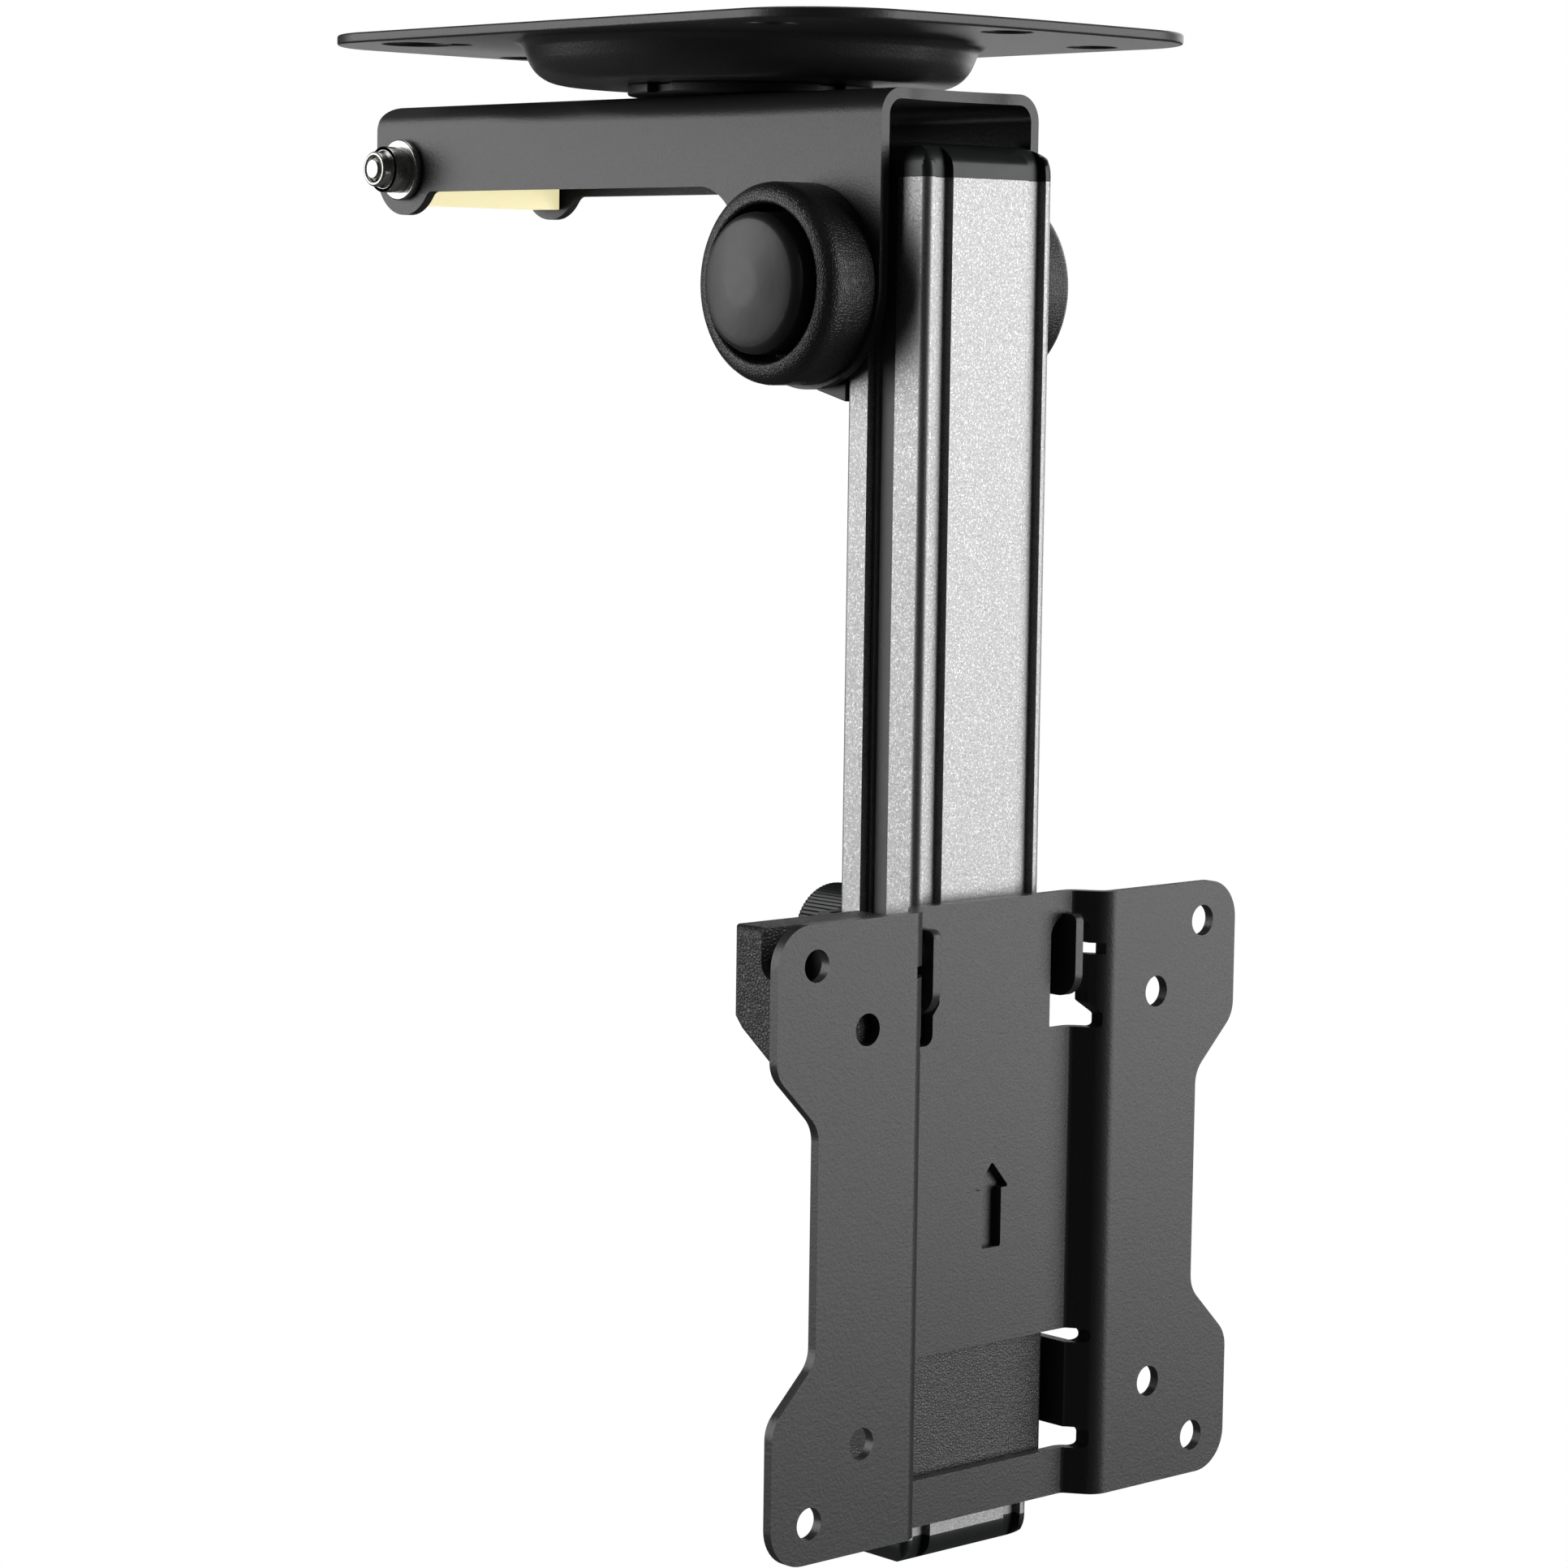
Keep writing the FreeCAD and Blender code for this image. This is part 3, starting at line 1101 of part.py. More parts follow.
def latch_housing():
    """The textured moulding on the carriage's left that holds the plate's latch."""
    made = body("latch_housing", CARRIAGE_AT)
    profile = sketch(made, "latch_profile", "YZ_Plane", offset=f"-{LATCH_LEFT}")
    top = below_top("latch_top")
    bottom = below_top("latch_bottom")
    outline(profile, [
        ("Dim.latch_front", bottom),
        ("Dim.latch_slope_front", bottom),
        ("Dim.latch_slope_back", below_top("latch_slope_low")),
        ("Dim.latch_back", below_top("latch_back_low")),
        ("Dim.latch_back", top),
        ("Dim.latch_front", top),
    ])
    pad(made, profile, f"{LATCH_LEFT} - {BRACKET_HALF}")
    far = -value(LATCH_LEFT)
    ahead_of = value("Dim.latch_slope_front")
    fillet(made, lambda spot, way: near(spot.x, far) and spot.y > ahead_of, "Dim.latch_edge_round")
    room = sketch(made, "latch_room", "XY_Plane", offset=top)
    inner = f"-{BRACKET_HALF} + Dim.cut_margin"
    ahead = "Dim.latch_front - Dim.cut_margin"
    box_outline(room, f"-{LATCH_LEFT} + Dim.latch_wall", inner, ahead, "Dim.latch_pocket_back")
    pocket(made, room, "Dim.latch_pocket_floor - Dim.latch_top")
    step = sketch(made, "latch_step_room", "XY_Plane", offset=top)
    box_outline(step, f"-({WEB_HALF} + Dim.step_run + Dim.sheet)", inner, ahead,
                f"{PLATE_BACK} + Dim.side_gap")
    pocket(made, step, "Dim.latch_bottom")
    notch = sketch(made, "latch_wall_notch", "YZ_Plane", offset=f"-{LATCH_LEFT}")
    outline(notch, [
        (ahead, below_top("latch_notch_floor")),
        ("Dim.latch_pocket_back", below_top("latch_notch_floor"), "Dim.latch_round"),
        ("Dim.latch_pocket_back", f"{top} + Dim.cut_margin"),
        (ahead, f"{top} + Dim.cut_margin"),
    ])
    pocket(made, notch, "Dim.latch_wall", backwards=True)


def latch_slider():
    """The smooth thumb piece in the housing, with the nose that locks the plate down."""
    made = body("latch_slider", CARRIAGE_AT)
    left = f"-{LATCH_LEFT} + Dim.latch_wall + Dim.latch_travel + Dim.latch_play"
    right = f"{left} + Dim.latch_slider_length"
    front = "Dim.latch_front + Dim.latch_play"
    floor = f"{below_top('latch_pocket_floor')} + Dim.latch_play"
    block = sketch(made, "latch_block", "XY_Plane", offset=floor)
    box_outline(block, left, right, front, "Dim.latch_pocket_back - Dim.latch_play")
    pad(made, block, "Dim.latch_pocket_floor - Dim.latch_top - 2 * Dim.latch_play")
    nose = sketch(made, "latch_nose", "XZ_Plane", offset=f"-({front} + Dim.latch_nose_depth)")
    top = below_top("latch_nose_top")
    low = f"{top} - Dim.latch_nose_height"
    tip = f"-({BRACKET_HALF} + Dim.latch_nose_tip)"
    outline(nose, [
        (f"{right} - Dim.latch_nose_root", low),
        (f"{tip} - Dim.latch_nose_height * Dim.latch_travel / {LIFT}", low),
        (tip, f"{top} - Dim.latch_nose_edge"),
        (tip, top),
        (f"{right} - Dim.latch_nose_root", top),
    ])
    pad(made, nose, "Dim.latch_nose_depth")


def latch_spring():
    """The spring that pushes the latch home, a helix between the housing's wall and the slider."""
    gap = value("Dim.latch_travel")
    wire = value("Dim.latch_spring_wire")
    coil = value("Dim.latch_spring_radius")
    turns = value("Dim.latch_spring_turns")
    path = Part.makeHelix((gap - 2 * wire) / turns, gap - 2 * wire, coil)
    section = Part.Wire(Part.makeCircle(wire, FreeCAD.Vector(coil, 0, 0), FreeCAD.Vector(0, 1, 0)))
    solid = Part.Wire(path.Edges).makePipeShell([section], True, True)
    made = doc.addObject("Part::Feature", "latch_spring_coil")
    made.Shape = solid
    made.Placement.Rotation = FreeCAD.Rotation(FreeCAD.Vector(0, 1, 0), 90)
    start = f"-{LATCH_LEFT} + Dim.latch_wall + Dim.latch_spring_wire + Dim.latch_play / 2"
    middle = f"{PLATE_Y} + (Dim.latch_front + Dim.latch_pocket_back) / 2 + Dim.latch_spring_back"
    floor = below_top("latch_pocket_floor")
    node(made, "latch_spring", (start, middle, f"{PLATE_Z} + {floor} + Dim.latch_spring_rise"))


def vesa_plate():
    """The folded screen plate: a web set back from two flanges, with windows for the hooks."""
    made = body("vesa_plate", CARRIAGE_AT)
    section = sketch(made, "plate_section", "XY_Plane", offset="-Dim.vesa_height / 2")
    side = "Dim.vesa_width / 2"
    foot = f"({WEB_HALF} + Dim.step_run)"
    tight = "Dim.step_bend"
    wide = "Dim.step_bend + Dim.sheet"
    heel = "Dim.flange_bend"
    sweep = "Dim.flange_bend + Dim.sheet"
    outline(section, [
        (f"-{side}", "0"),
        (f"-{foot}", "0", sweep),
        (f"-{WEB_HALF}", "Dim.step_depth", tight),
        (WEB_HALF, "Dim.step_depth", tight),
        (foot, "0", sweep),
        (side, "0"),
        (side, "Dim.sheet"),
        (f"{foot} + {BEND_SHIFT}", "Dim.sheet", heel),
        (f"{WEB_HALF} + {BEND_SHIFT}", PLATE_BACK, wide),
        (f"-({WEB_HALF} + {BEND_SHIFT})", PLATE_BACK, wide),
        (f"-({foot} + {BEND_SHIFT})", "Dim.sheet", heel),
        (f"-{side}", "Dim.sheet"),
    ])
    pad(made, section, "Dim.vesa_height")
    through = f"{PLATE_BACK} + Dim.cut_margin"
    top = "Dim.vesa_height / 2"
    beyond = f"{side} + Dim.cut_margin"
    for name, sign in (("right", ""), ("left", "-")):
        trim = sketch(made, f"flange_trim_{name}", "XZ_Plane")
        waist = f"{sign}Dim.vesa_waist"
        shoulder = f"{sign}({side})"
        out = f"{sign}({beyond})"
        outline(trim, [
            (shoulder, "Dim.vesa_shoulder_half", "Dim.vesa_neck_round"),
            (waist, "Dim.vesa_waist_half", "Dim.vesa_neck_round"),
            (waist, "-Dim.vesa_waist_half", "Dim.vesa_neck_round"),
            (shoulder, "-Dim.vesa_shoulder_half", "Dim.vesa_neck_round"),
            (shoulder, f"-({top}) + Dim.vesa_corner"),
            (out, f"-({top}) + Dim.vesa_corner"),
            (out, f"{top} - Dim.vesa_corner"),
            (shoulder, f"{top} - Dim.vesa_corner"),
        ])
        pocket(made, trim, through, symmetric=True)
    far = value(side)
    high = value(top)
    fillet(made, lambda spot, way: near(abs(spot.x), far) and near(abs(spot.z), high) and abs(way.y) > 0.9,
           "Dim.vesa_corner")
    holes = sketch(made, "vesa_holes", "XZ_Plane")
    corners = (("Dim.wide_pitch / 2", f"{PLATE_TOP} - Dim.hole_margin"),
               ("Dim.narrow_pitch / 2", "Dim.narrow_pitch / 2"))
    for across, up in corners:
        for sign_x in ("", "-"):
            for sign_z in ("", "-"):
                circle(holes, f"{sign_x}({across})", f"{sign_z}({up})", "Dim.vesa_hole")
    pocket(made, holes, f"2 * ({through})", symmetric=True)
    low_window(made, through)
    hook_windows(made, through)
    arrow = sketch(made, "arrow_recess", "XZ_Plane", offset="-Dim.step_depth")
    outline(arrow, [
        ("0", "Dim.arrow_tip", "Dim.arrow_round"),
        ("-Dim.arrow_barb_half", "Dim.arrow_barb_z", "Dim.arrow_barb_round"),
        ("-Dim.arrow_stem_half", "Dim.arrow_barb_z"),
        ("-Dim.arrow_stem_half", "-Dim.arrow_bottom", "Dim.arrow_round"),
        ("Dim.arrow_stem_half", "-Dim.arrow_bottom", "Dim.arrow_round"),
        ("Dim.arrow_stem_half", "Dim.arrow_barb_z"),
        ("Dim.arrow_barb_half", "Dim.arrow_barb_z", "Dim.arrow_barb_round"),
    ])
    pocket(made, arrow, "Dim.arrow_depth")


def low_window(made, through):
    """The lower window, and the ears at its sides that are bent back along the carriage."""
    low = sketch(made, "low_window", "XZ_Plane")
    wide = f"({BRACKET_HALF} + Dim.low_window_margin)"
    ear = f"({BRACKET_HALF} + Dim.ear_gap)"
    sill = f"(Dim.low_window_rail - {PLATE_TOP})"
    head = f"({sill} + Dim.low_window_height)"
    ear_low = f"(Dim.ear_rail - {PLATE_TOP})"
    ear_high = f"({ear_low} + Dim.ear_height)"
    half = [(wide, sill, "Dim.low_window_round"), (wide, ear_low, "Dim.low_window_round"), (ear, ear_low),
            (ear, ear_high), (wide, ear_high, "Dim.low_window_round"), (wide, head, "Dim.low_window_round")]
    outline(low, half + [(f"-{corner[0]}",) + corner[1:] for corner in reversed(half)])
    pocket(made, low, f"2 * ({through})", symmetric=True)
    for name, sign in (("right", ""), ("left", "-")):
        side = sketch(made, f"ear_{name}", "YZ_Plane", offset=f"{sign}{ear}")
        back = f"{PLATE_BACK} + Dim.ear_reach"
        outline(side, [
            ("Dim.step_depth", ear_low),
            (back, ear_low, "Dim.ear_round"),
            (back, ear_high, "Dim.ear_round"),
            ("Dim.step_depth", ear_high),
        ])
        pad(made, side, "Dim.sheet", backwards=sign == "-")


def hook_windows(made, through):
    """The two windows for the carriage's hooks, each with a notch for the latch's nose."""
    inner = f"({BRACKET_HALF} - Dim.hook_window_inside)"
    outer = f"({BRACKET_HALF} + Dim.hook_window_outside)"
    lobe = f"({BRACKET_HALF} + Dim.hook_window_outside + Dim.hook_window_lobe)"
    toe = f"({BRACKET_HALF} - Dim.hook_window_inside + Dim.hook_window_toe)"
    small = "Dim.hook_window_small_round"
    bend = "Dim.hook_window_side_round"
    sill = f"{BRACKET_TOP} - Dim.hook_window_height"
    feet = {
        "right": [(inner, sill, small)],
        "left": [(toe, sill, bend), (toe, f"{BRACKET_TOP} - Dim.hook_window_toe_low", small),
                 (inner, f"{BRACKET_TOP} - Dim.hook_window_toe_high", small)],
    }
    reaches = {"right": "Dim.spare_notch_reach", "left": "Dim.latch_notch_reach"}
    for name, sign in (("right", ""), ("left", "-")):
        window = sketch(made, f"hook_window_{name}", "XZ_Plane")
        corners = [
            (inner, BRACKET_TOP, "Dim.hook_window_round"),
            (outer, BRACKET_TOP, bend),
            (outer, f"{BRACKET_TOP} - Dim.hook_window_lobe_high", small),
            (lobe, f"{BRACKET_TOP} - Dim.hook_window_lobe_low", small),
            (lobe, sill, small),
        ]
        outline(window, [(sign + corner[0],) + corner[1:] for corner in corners + feet[name]])
        pocket(made, window, f"2 * ({through})", symmetric=True)
        notch = sketch(made, f"latch_notch_{name}", "XZ_Plane")
        box_outline(notch, f"{sign}({outer} - Dim.sheet)", f"{sign}({BRACKET_HALF} + {reaches[name]})",
                    f"{PLATE_TOP} - Dim.latch_notch_top - Dim.latch_notch_height",
                    f"{PLATE_TOP} - Dim.latch_notch_top")
        pocket(made, notch, f"2 * ({through})", symmetric=True)


def build():
    """Makes every sub-part in turn."""
    ceiling_plate()
    swivel_bolt()
    swivel_disc()
    swivel_stack()
    channel_bracket()
    stop_bolt()
    stop_fittings()
    for side, sign in (("right", ""), ("left", "-")):
        pivot_cover(side, sign)
        pivot_cap(side, sign)
    pivot_fittings()
    arm_extrusion()
    arm_cap("top_cap", "Dim.top_cap_height", ("0", ARM_Y, ARM_TOP_Z), True)
    arm_cap("bottom_cap", "Dim.bottom_cap_height", ("0", ARM_Y, ARM_BOTTOM_Z), False)
    for side, sign in (("right", ""), ("left", "-")):
        slot_strip(side, sign)
    hinge_block()
    hinge_washers()
    carriage_liner()
    carriage_bracket()
    clamp_nut()
    clamp_knob()
    latch_housing()
    latch_slider()
    latch_spring()
    vesa_plate()


def check_and_write():
    """Stops on anything that failed, then writes one STEP file for each sub-part."""
    for thing in doc.Objects:
        if "Invalid" in thing.State or "Error" in thing.State:
            raise RuntimeError(f"{thing.Label} failed: {thing.State}")
    os.makedirs("parts", exist_ok=True)
    for made in NODES:
        shape = made.Shape
        if shape.isNull() or not shape.isValid():
            raise RuntimeError(f"{made.Label} has no valid shape")
        shape.exportStep(os.path.join("parts", made.Label + ".step"))


build()
doc.recompute()
check_and_write()
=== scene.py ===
"""Looks of a flip-down ceiling mount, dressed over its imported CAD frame. All lengths are in metres."""

import logging
import math
from dataclasses import dataclass
from enum import Enum
from typing import Callable, Optional, Sequence, Union

import bmesh
import bpy
from mathutils import Matrix, Vector

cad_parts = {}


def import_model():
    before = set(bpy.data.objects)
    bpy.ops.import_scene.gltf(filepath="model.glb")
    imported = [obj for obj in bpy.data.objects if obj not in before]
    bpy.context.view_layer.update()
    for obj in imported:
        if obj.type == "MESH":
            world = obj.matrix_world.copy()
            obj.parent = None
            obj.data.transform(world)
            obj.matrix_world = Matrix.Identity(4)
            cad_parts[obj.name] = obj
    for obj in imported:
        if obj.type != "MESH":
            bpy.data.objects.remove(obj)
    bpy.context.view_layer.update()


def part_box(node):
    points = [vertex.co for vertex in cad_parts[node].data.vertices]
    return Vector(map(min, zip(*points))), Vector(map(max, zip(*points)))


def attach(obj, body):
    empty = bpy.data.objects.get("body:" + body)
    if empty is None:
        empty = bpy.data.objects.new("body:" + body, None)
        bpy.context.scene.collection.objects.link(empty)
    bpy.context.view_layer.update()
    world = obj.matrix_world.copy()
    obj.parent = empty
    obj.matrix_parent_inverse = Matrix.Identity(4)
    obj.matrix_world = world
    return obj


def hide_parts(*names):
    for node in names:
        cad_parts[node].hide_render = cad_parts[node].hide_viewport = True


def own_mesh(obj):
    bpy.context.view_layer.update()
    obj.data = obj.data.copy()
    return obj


LOG = logging.getLogger("ceiling_mount")
MERGE_REACH = 2e-6
FULL_TURN = 2 * math.pi
FLAT_ANGLE = 0.35
NORMAL_WEIGHT = 60
THREAD_DEPTH, THREAD_FOOT, THREAD_STEPS = 0.62, 0.94, 28
NODE_GAP = 190
MIX_LOW, MIX_HIGH, MIX_RESULT = 6, 7, 2
Node, Socket = bpy.types.Node, bpy.types.NodeSocket
Source = Union[Socket, float, tuple[float, ...]]
Colour = tuple[float, float, float]


class Slot(Enum):
    """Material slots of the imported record."""

    POWDER = "powder_black"
    SMOOTH = "smooth_black"
    TEXTURED = "textured_black"
    ZINC = "zinc_steel"
    ALUMINIUM = "satin_aluminium"
    PAD = "pale_pad"


class Body(Enum):
    """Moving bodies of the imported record."""

    ROOT = "root"
    CHANNEL = "channel"
    ARM = "arm"
    CARRIAGE = "carriage"
    KNOB = "knob"
    LATCH = "latch"
    PLATE = "plate"


class Axis(Enum):
    """Axis of the part that a turned or hexagonal piece stands on."""

    X = "x"
    Y = "y"
    Z = "z"

    def turn(self) -> Matrix:
        """Works out the turn that takes local +Z to this axis.

        Returns:
            The turn, as a 4 x 4 matrix.
        """
        if self is Axis.X:
            return Matrix.Rotation(math.pi / 2, 4, "Y")
        if self is Axis.Y:
            return Matrix.Rotation(-math.pi / 2, 4, "X")
        return Matrix.Identity(4)

    def index(self) -> int:
        """Returns the coordinate that runs along this axis."""
        return "xyz".index(self.value)


# Shader helpers


class ShaderGraph:
    """A node tree with short calls to add, set and link its nodes."""

    def __init__(self, tree: bpy.types.NodeTree) -> None:
        """Keeps the tree, emptied of its default nodes.

        Args:
            tree: Tree to build in.
        """
        self.tree = tree
        self.tree.nodes.clear()
        self.column = 0

    def add(self, kind: str, values: Optional[dict] = None, **settings: object) -> Node:
        """Adds one node.

        Args:
            kind: Blender's node type.
            values: Constant values by socket name.
            **settings: Properties of the node itself.

        Returns:
            The new node.
        """
        node = self.tree.nodes.new(kind)
        node.location = (self.column, 0)
        self.column += NODE_GAP
        for name, setting in settings.items():
            setattr(node, name, setting)
        for socket, value in (values or {}).items():
            node.inputs[socket].default_value = value
        return node

    def link(self, source: Socket, target: Socket) -> None:
        """Joins an output to an input."""
        self.tree.links.new(source, target)

    def feed(self, source: Source, target: Socket) -> None:
        """Joins an output to an input, or sets the input to a number or colour.

        Args:
            source: Output, number or colour.
            target: Input to feed.
        """
        if isinstance(source, Socket):
            self.link(source, target)
        else:
            target.default_value = source

    def maths(self, operation: str, first: Source, second: Source, clamp: bool = False) -> Socket:
        """Adds a Math node.

        Args:
            operation: Blender's name of the operation.
            first: Output or number.
            second: Output or number.
            clamp: Whether the result stays between 0 and 1.

        Returns:
            The result's output.
        """
        node = self.add("ShaderNodeMath", operation=operation, use_clamp=clamp)
        self.feed(first, node.inputs[0])
        self.feed(second, node.inputs[1])
        return node.outputs[0]

    def blend_colours(self, factor: Socket, low: Source, high: Source) -> Socket:
        """Adds a colour mix.

        Args:
            factor: Mask between the two.
            low: Colour where the mask is 0.
            high: Colour where the mask is 1.

        Returns:
            The mixed colour's output.
        """
        node = self.add("ShaderNodeMix", data_type="RGBA")
        self.link(factor, node.inputs["Factor"])
        for slot, colour in ((MIX_LOW, low), (MIX_HIGH, high)):
            self.feed((*colour, 1.0) if isinstance(colour, tuple) else colour, node.inputs[slot])
        return node.outputs[MIX_RESULT]

    def spread(self, source: Socket, low: float, high: float, start: float = 0.0, end: float = 1.0) -> Socket:
        """Adds a Map Range node.

        Args:
            source: Value to map.
            low: Result at start.
            high: Result at end.
            start: Lowest value read.
            end: Highest value read.

        Returns:
            The mapped value's output.
        """
        node = self.add("ShaderNodeMapRange", {"From Min": start, "From Max": end,
                                               "To Min": low, "To Max": high})
        self.link(source, node.inputs["Value"])
        return node.outputs["Result"]

    def finish_seen(self, unseen: Socket, seen: Socket, output: str) -> None:
        """Ends the tree with one shader for what the camera sees and another for all other light.

        Args:
            unseen: Shader for reflections and bounced light.
            seen: Shader for the camera's own rays.
            output: Type of the output node.
        """
        path = self.add("ShaderNodeLightPath")
        both = self.add("ShaderNodeMixShader")
        self.link(path.outputs["Is Camera Ray"], both.inputs["Fac"])
        self.link(unseen, both.inputs[1])
        self.link(seen, both.inputs[2])
        self.link(both.outputs["Shader"], self.add(output).inputs["Surface"])


class SharedGroup:
    """A node group that several finishes use, built at its first use."""

    name = ""
    inputs: dict[str, float] = {}
    outputs: tuple[str, ...] = ()

    def tree(self) -> bpy.types.NodeTree:
        """Finds the group's tree, or builds it.

        Returns:
            The tree, with its sockets and nodes.
        """
        found = bpy.data.node_groups.get(self.name)
        if found:
            return found
        made = bpy.data.node_groups.new(self.name, "ShaderNodeTree")
        for label, default in self.inputs.items():
            socket = made.interface.new_socket(name=label, in_out="INPUT", socket_type="NodeSocketFloat")
            socket.default_value = default
        for label in self.outputs:
            made.interface.new_socket(name=label, in_out="OUTPUT", socket_type="NodeSocketFloat")
        graph = ShaderGraph(made)
        self.fill(graph, graph.add("NodeGroupInput"), graph.add("NodeGroupOutput"))
        return made

    def fill(self, graph: ShaderGraph, given: Node, result: Node) -> None:
        """Adds the group's own nodes between its input node and its output node."""
        raise NotImplementedError

    def place(self, graph: ShaderGraph, values: dict[str, float]) -> Node:
        """Puts the group into a material.

        Args:
            graph: Tree of the material.
            values: Values of the group's inputs by name.

        Returns:
            The group node.
        """
        node = graph.add("ShaderNodeGroup", node_tree=self.tree())
        for label, value in values.items():
            node.inputs[label].default_value = value
        return node


class Pattern(SharedGroup):
    """A group that reads the piece's own object coordinates."""

    @staticmethod
    def on_piece(graph: ShaderGraph, node: Node, scale: Source) -> Node:
        """Feeds a texture node the object coordinates and its scale.

        Args:
            graph: Tree to add to.
            node: Texture node.
            scale: Features per metre.

        Returns:
            The texture node.
        """
        spot = graph.add("ShaderNodeTexCoord")
        graph.link(spot.outputs["Object"], node.inputs["Vector"])
        graph.feed(scale, node.inputs["Scale"])
        return node

    def noise(self, graph: ShaderGraph, scale: Source, detail: float = 2.0, rough: float = 0.5) -> Socket:
        """Adds noise, with its octaves and the share of the finer ones, and returns its value."""
        node = graph.add("ShaderNodeTexNoise", {"Detail": detail, "Roughness": rough})
        return self.on_piece(graph, node, scale).outputs["Fac"]

    def edge_distance(self, graph: ShaderGraph, scale: Source) -> Socket:
        """Adds a cell pattern and returns the distance to the nearest edge of a cell."""
        node = graph.add("ShaderNodeTexVoronoi", feature="DISTANCE_TO_EDGE")
        return self.on_piece(graph, node, scale).outputs["Distance"]


class OrangePeel(Pattern):
    """Soft ripples with a finer powder grain over them."""

    name = "orange_peel"
    inputs = {"Ripple Scale": 900.0, "Grain Scale": 3200.0, "Grain Share": 0.35}
    outputs = ("Height", "Grain")

    def fill(self, graph: ShaderGraph, given: Node, result: Node) -> None:
        """Adds two noises and their weighted sum.

        Args:
            graph: Tree of the group.
            given: The group's input node.
            result: The group's output node.
        """
        ripple = self.noise(graph, given.outputs["Ripple Scale"], detail=1.5)
        grain = self.noise(graph, given.outputs["Grain Scale"], detail=3.0, rough=0.6)
        weighted = graph.maths("MULTIPLY", grain, given.outputs["Grain Share"])
        graph.link(graph.maths("ADD", ripple, weighted), result.inputs["Height"])
        graph.link(grain, result.inputs["Grain"])


class EdgeWear(Pattern):
    """A mask of sharp edges, broken up by a grain, where a coat is thin."""

    name = "edge_wear"
    inputs = {"Reach": 0.0006, "Breakup Scale": 2200.0, "Amount": 1.0}
    outputs = ("Mask",)

    def fill(self, graph: ShaderGraph, given: Node, result: Node) -> None:
        """Compares the true normal with one that is averaged over the reach.

        Args:
            graph: Tree of the group.
            given: The group's input node.
            result: The group's output node.
        """
        rounded = graph.add("ShaderNodeBevel", samples=4)
        graph.link(given.outputs["Reach"], rounded.inputs["Radius"])
        true = graph.add("ShaderNodeNewGeometry")
        facing = graph.add("ShaderNodeVectorMath", operation="DOT_PRODUCT")
        graph.link(rounded.outputs["Normal"], facing.inputs[0])
        graph.link(true.outputs["Normal"], facing.inputs[1])
        bent = graph.maths("SUBTRACT", 1.0, facing.outputs["Value"])
        edge = graph.spread(bent, 0.0, 1.0, start=0.02, end=0.22)
        grain = self.noise(graph, given.outputs["Breakup Scale"])
        broken = graph.spread(grain, 0.25, 1.0, start=0.38, end=0.62)
        mask = graph.maths("MULTIPLY", edge, broken)
        graph.link(graph.maths("MULTIPLY", mask, given.outputs["Amount"], clamp=True), result.inputs["Mask"])


class Mottle(Pattern):
    """Slow changes of shade over a surface, as handling and cooling leave them."""

    name = "mottle"
    inputs = {"Scale": 28.0, "Fine Scale": 240.0}
    outputs = ("Shade",)

    def fill(self, graph: ShaderGraph, given: Node, result: Node) -> None:
        """Adds a broad and a finer noise.

        Args:
            graph: Tree of the group.
            given: The group's input node.
            result: The group's output node.
        """
        broad = self.noise(graph, given.outputs["Scale"], detail=3.0)
        fine = graph.maths("MULTIPLY", self.noise(graph, given.outputs["Fine Scale"]), 0.4)
        both = graph.maths("ADD", graph.maths("MULTIPLY", broad, 0.6), fine)
        graph.link(graph.spread(both, 0.0, 1.0, start=0.3, end=0.7), result.inputs["Shade"])


class Fleck(Pattern):
    """Small bright and dark specks, as in blasted and anodised metal."""

    name = "fleck"
    inputs = {"Scale": 1500.0, "Cover": 0.5}
    outputs = ("Bright", "Dark", "Height")

    def fill(self, graph: ShaderGraph, given: Node, result: Node) -> None:
        """Adds specks from two noises of different scales.

        Args:
            graph: Tree of the group.
            given: The group's input node.
            result: The group's output node.
        """
        speck = self.noise(graph, given.outputs["Scale"], detail=2.5, rough=0.65)
        second = self.noise(graph, graph.maths("MULTIPLY", given.outputs["Scale"], 0.62), rough=0.6)
        cover = graph.spread(given.outputs["Cover"], 0.7, 0.46)
        bright = graph.maths("SUBTRACT", speck, cover)
        graph.link(graph.maths("MULTIPLY", bright, 9.0, clamp=True), result.inputs["Bright"])
        dark = graph.maths("SUBTRACT", second, cover)
        graph.link(graph.maths("MULTIPLY", dark, 8.0, clamp=True), result.inputs["Dark"])
        graph.link(speck, result.inputs["Height"])


class LeatherGrain(Pattern):
    """Pebbled grain of a textured moulding."""

    name = "leather_grain"
    inputs = {"Scale": 850.0}
    outputs = ("Height", "Crease")

    def fill(self, graph: ShaderGraph, given: Node, result: Node) -> None:
        """Adds rounded cells, with the creases between them.

        Args:
            graph: Tree of the group.
            given: The group's input node.
            result: The group's output node.
        """
        crease = self.edge_distance(graph, given.outputs["Scale"])
        pebble = graph.spread(crease, 0.0, 1.0, end=0.28)
        rough = graph.maths("MULTIPLY", self.noise(graph, 2600.0), 0.4)
        graph.link(graph.maths("ADD", pebble, rough), result.inputs["Height"])
        graph.link(graph.spread(crease, 1.0, 0.0, end=0.12), result.inputs["Crease"])


# Finishes


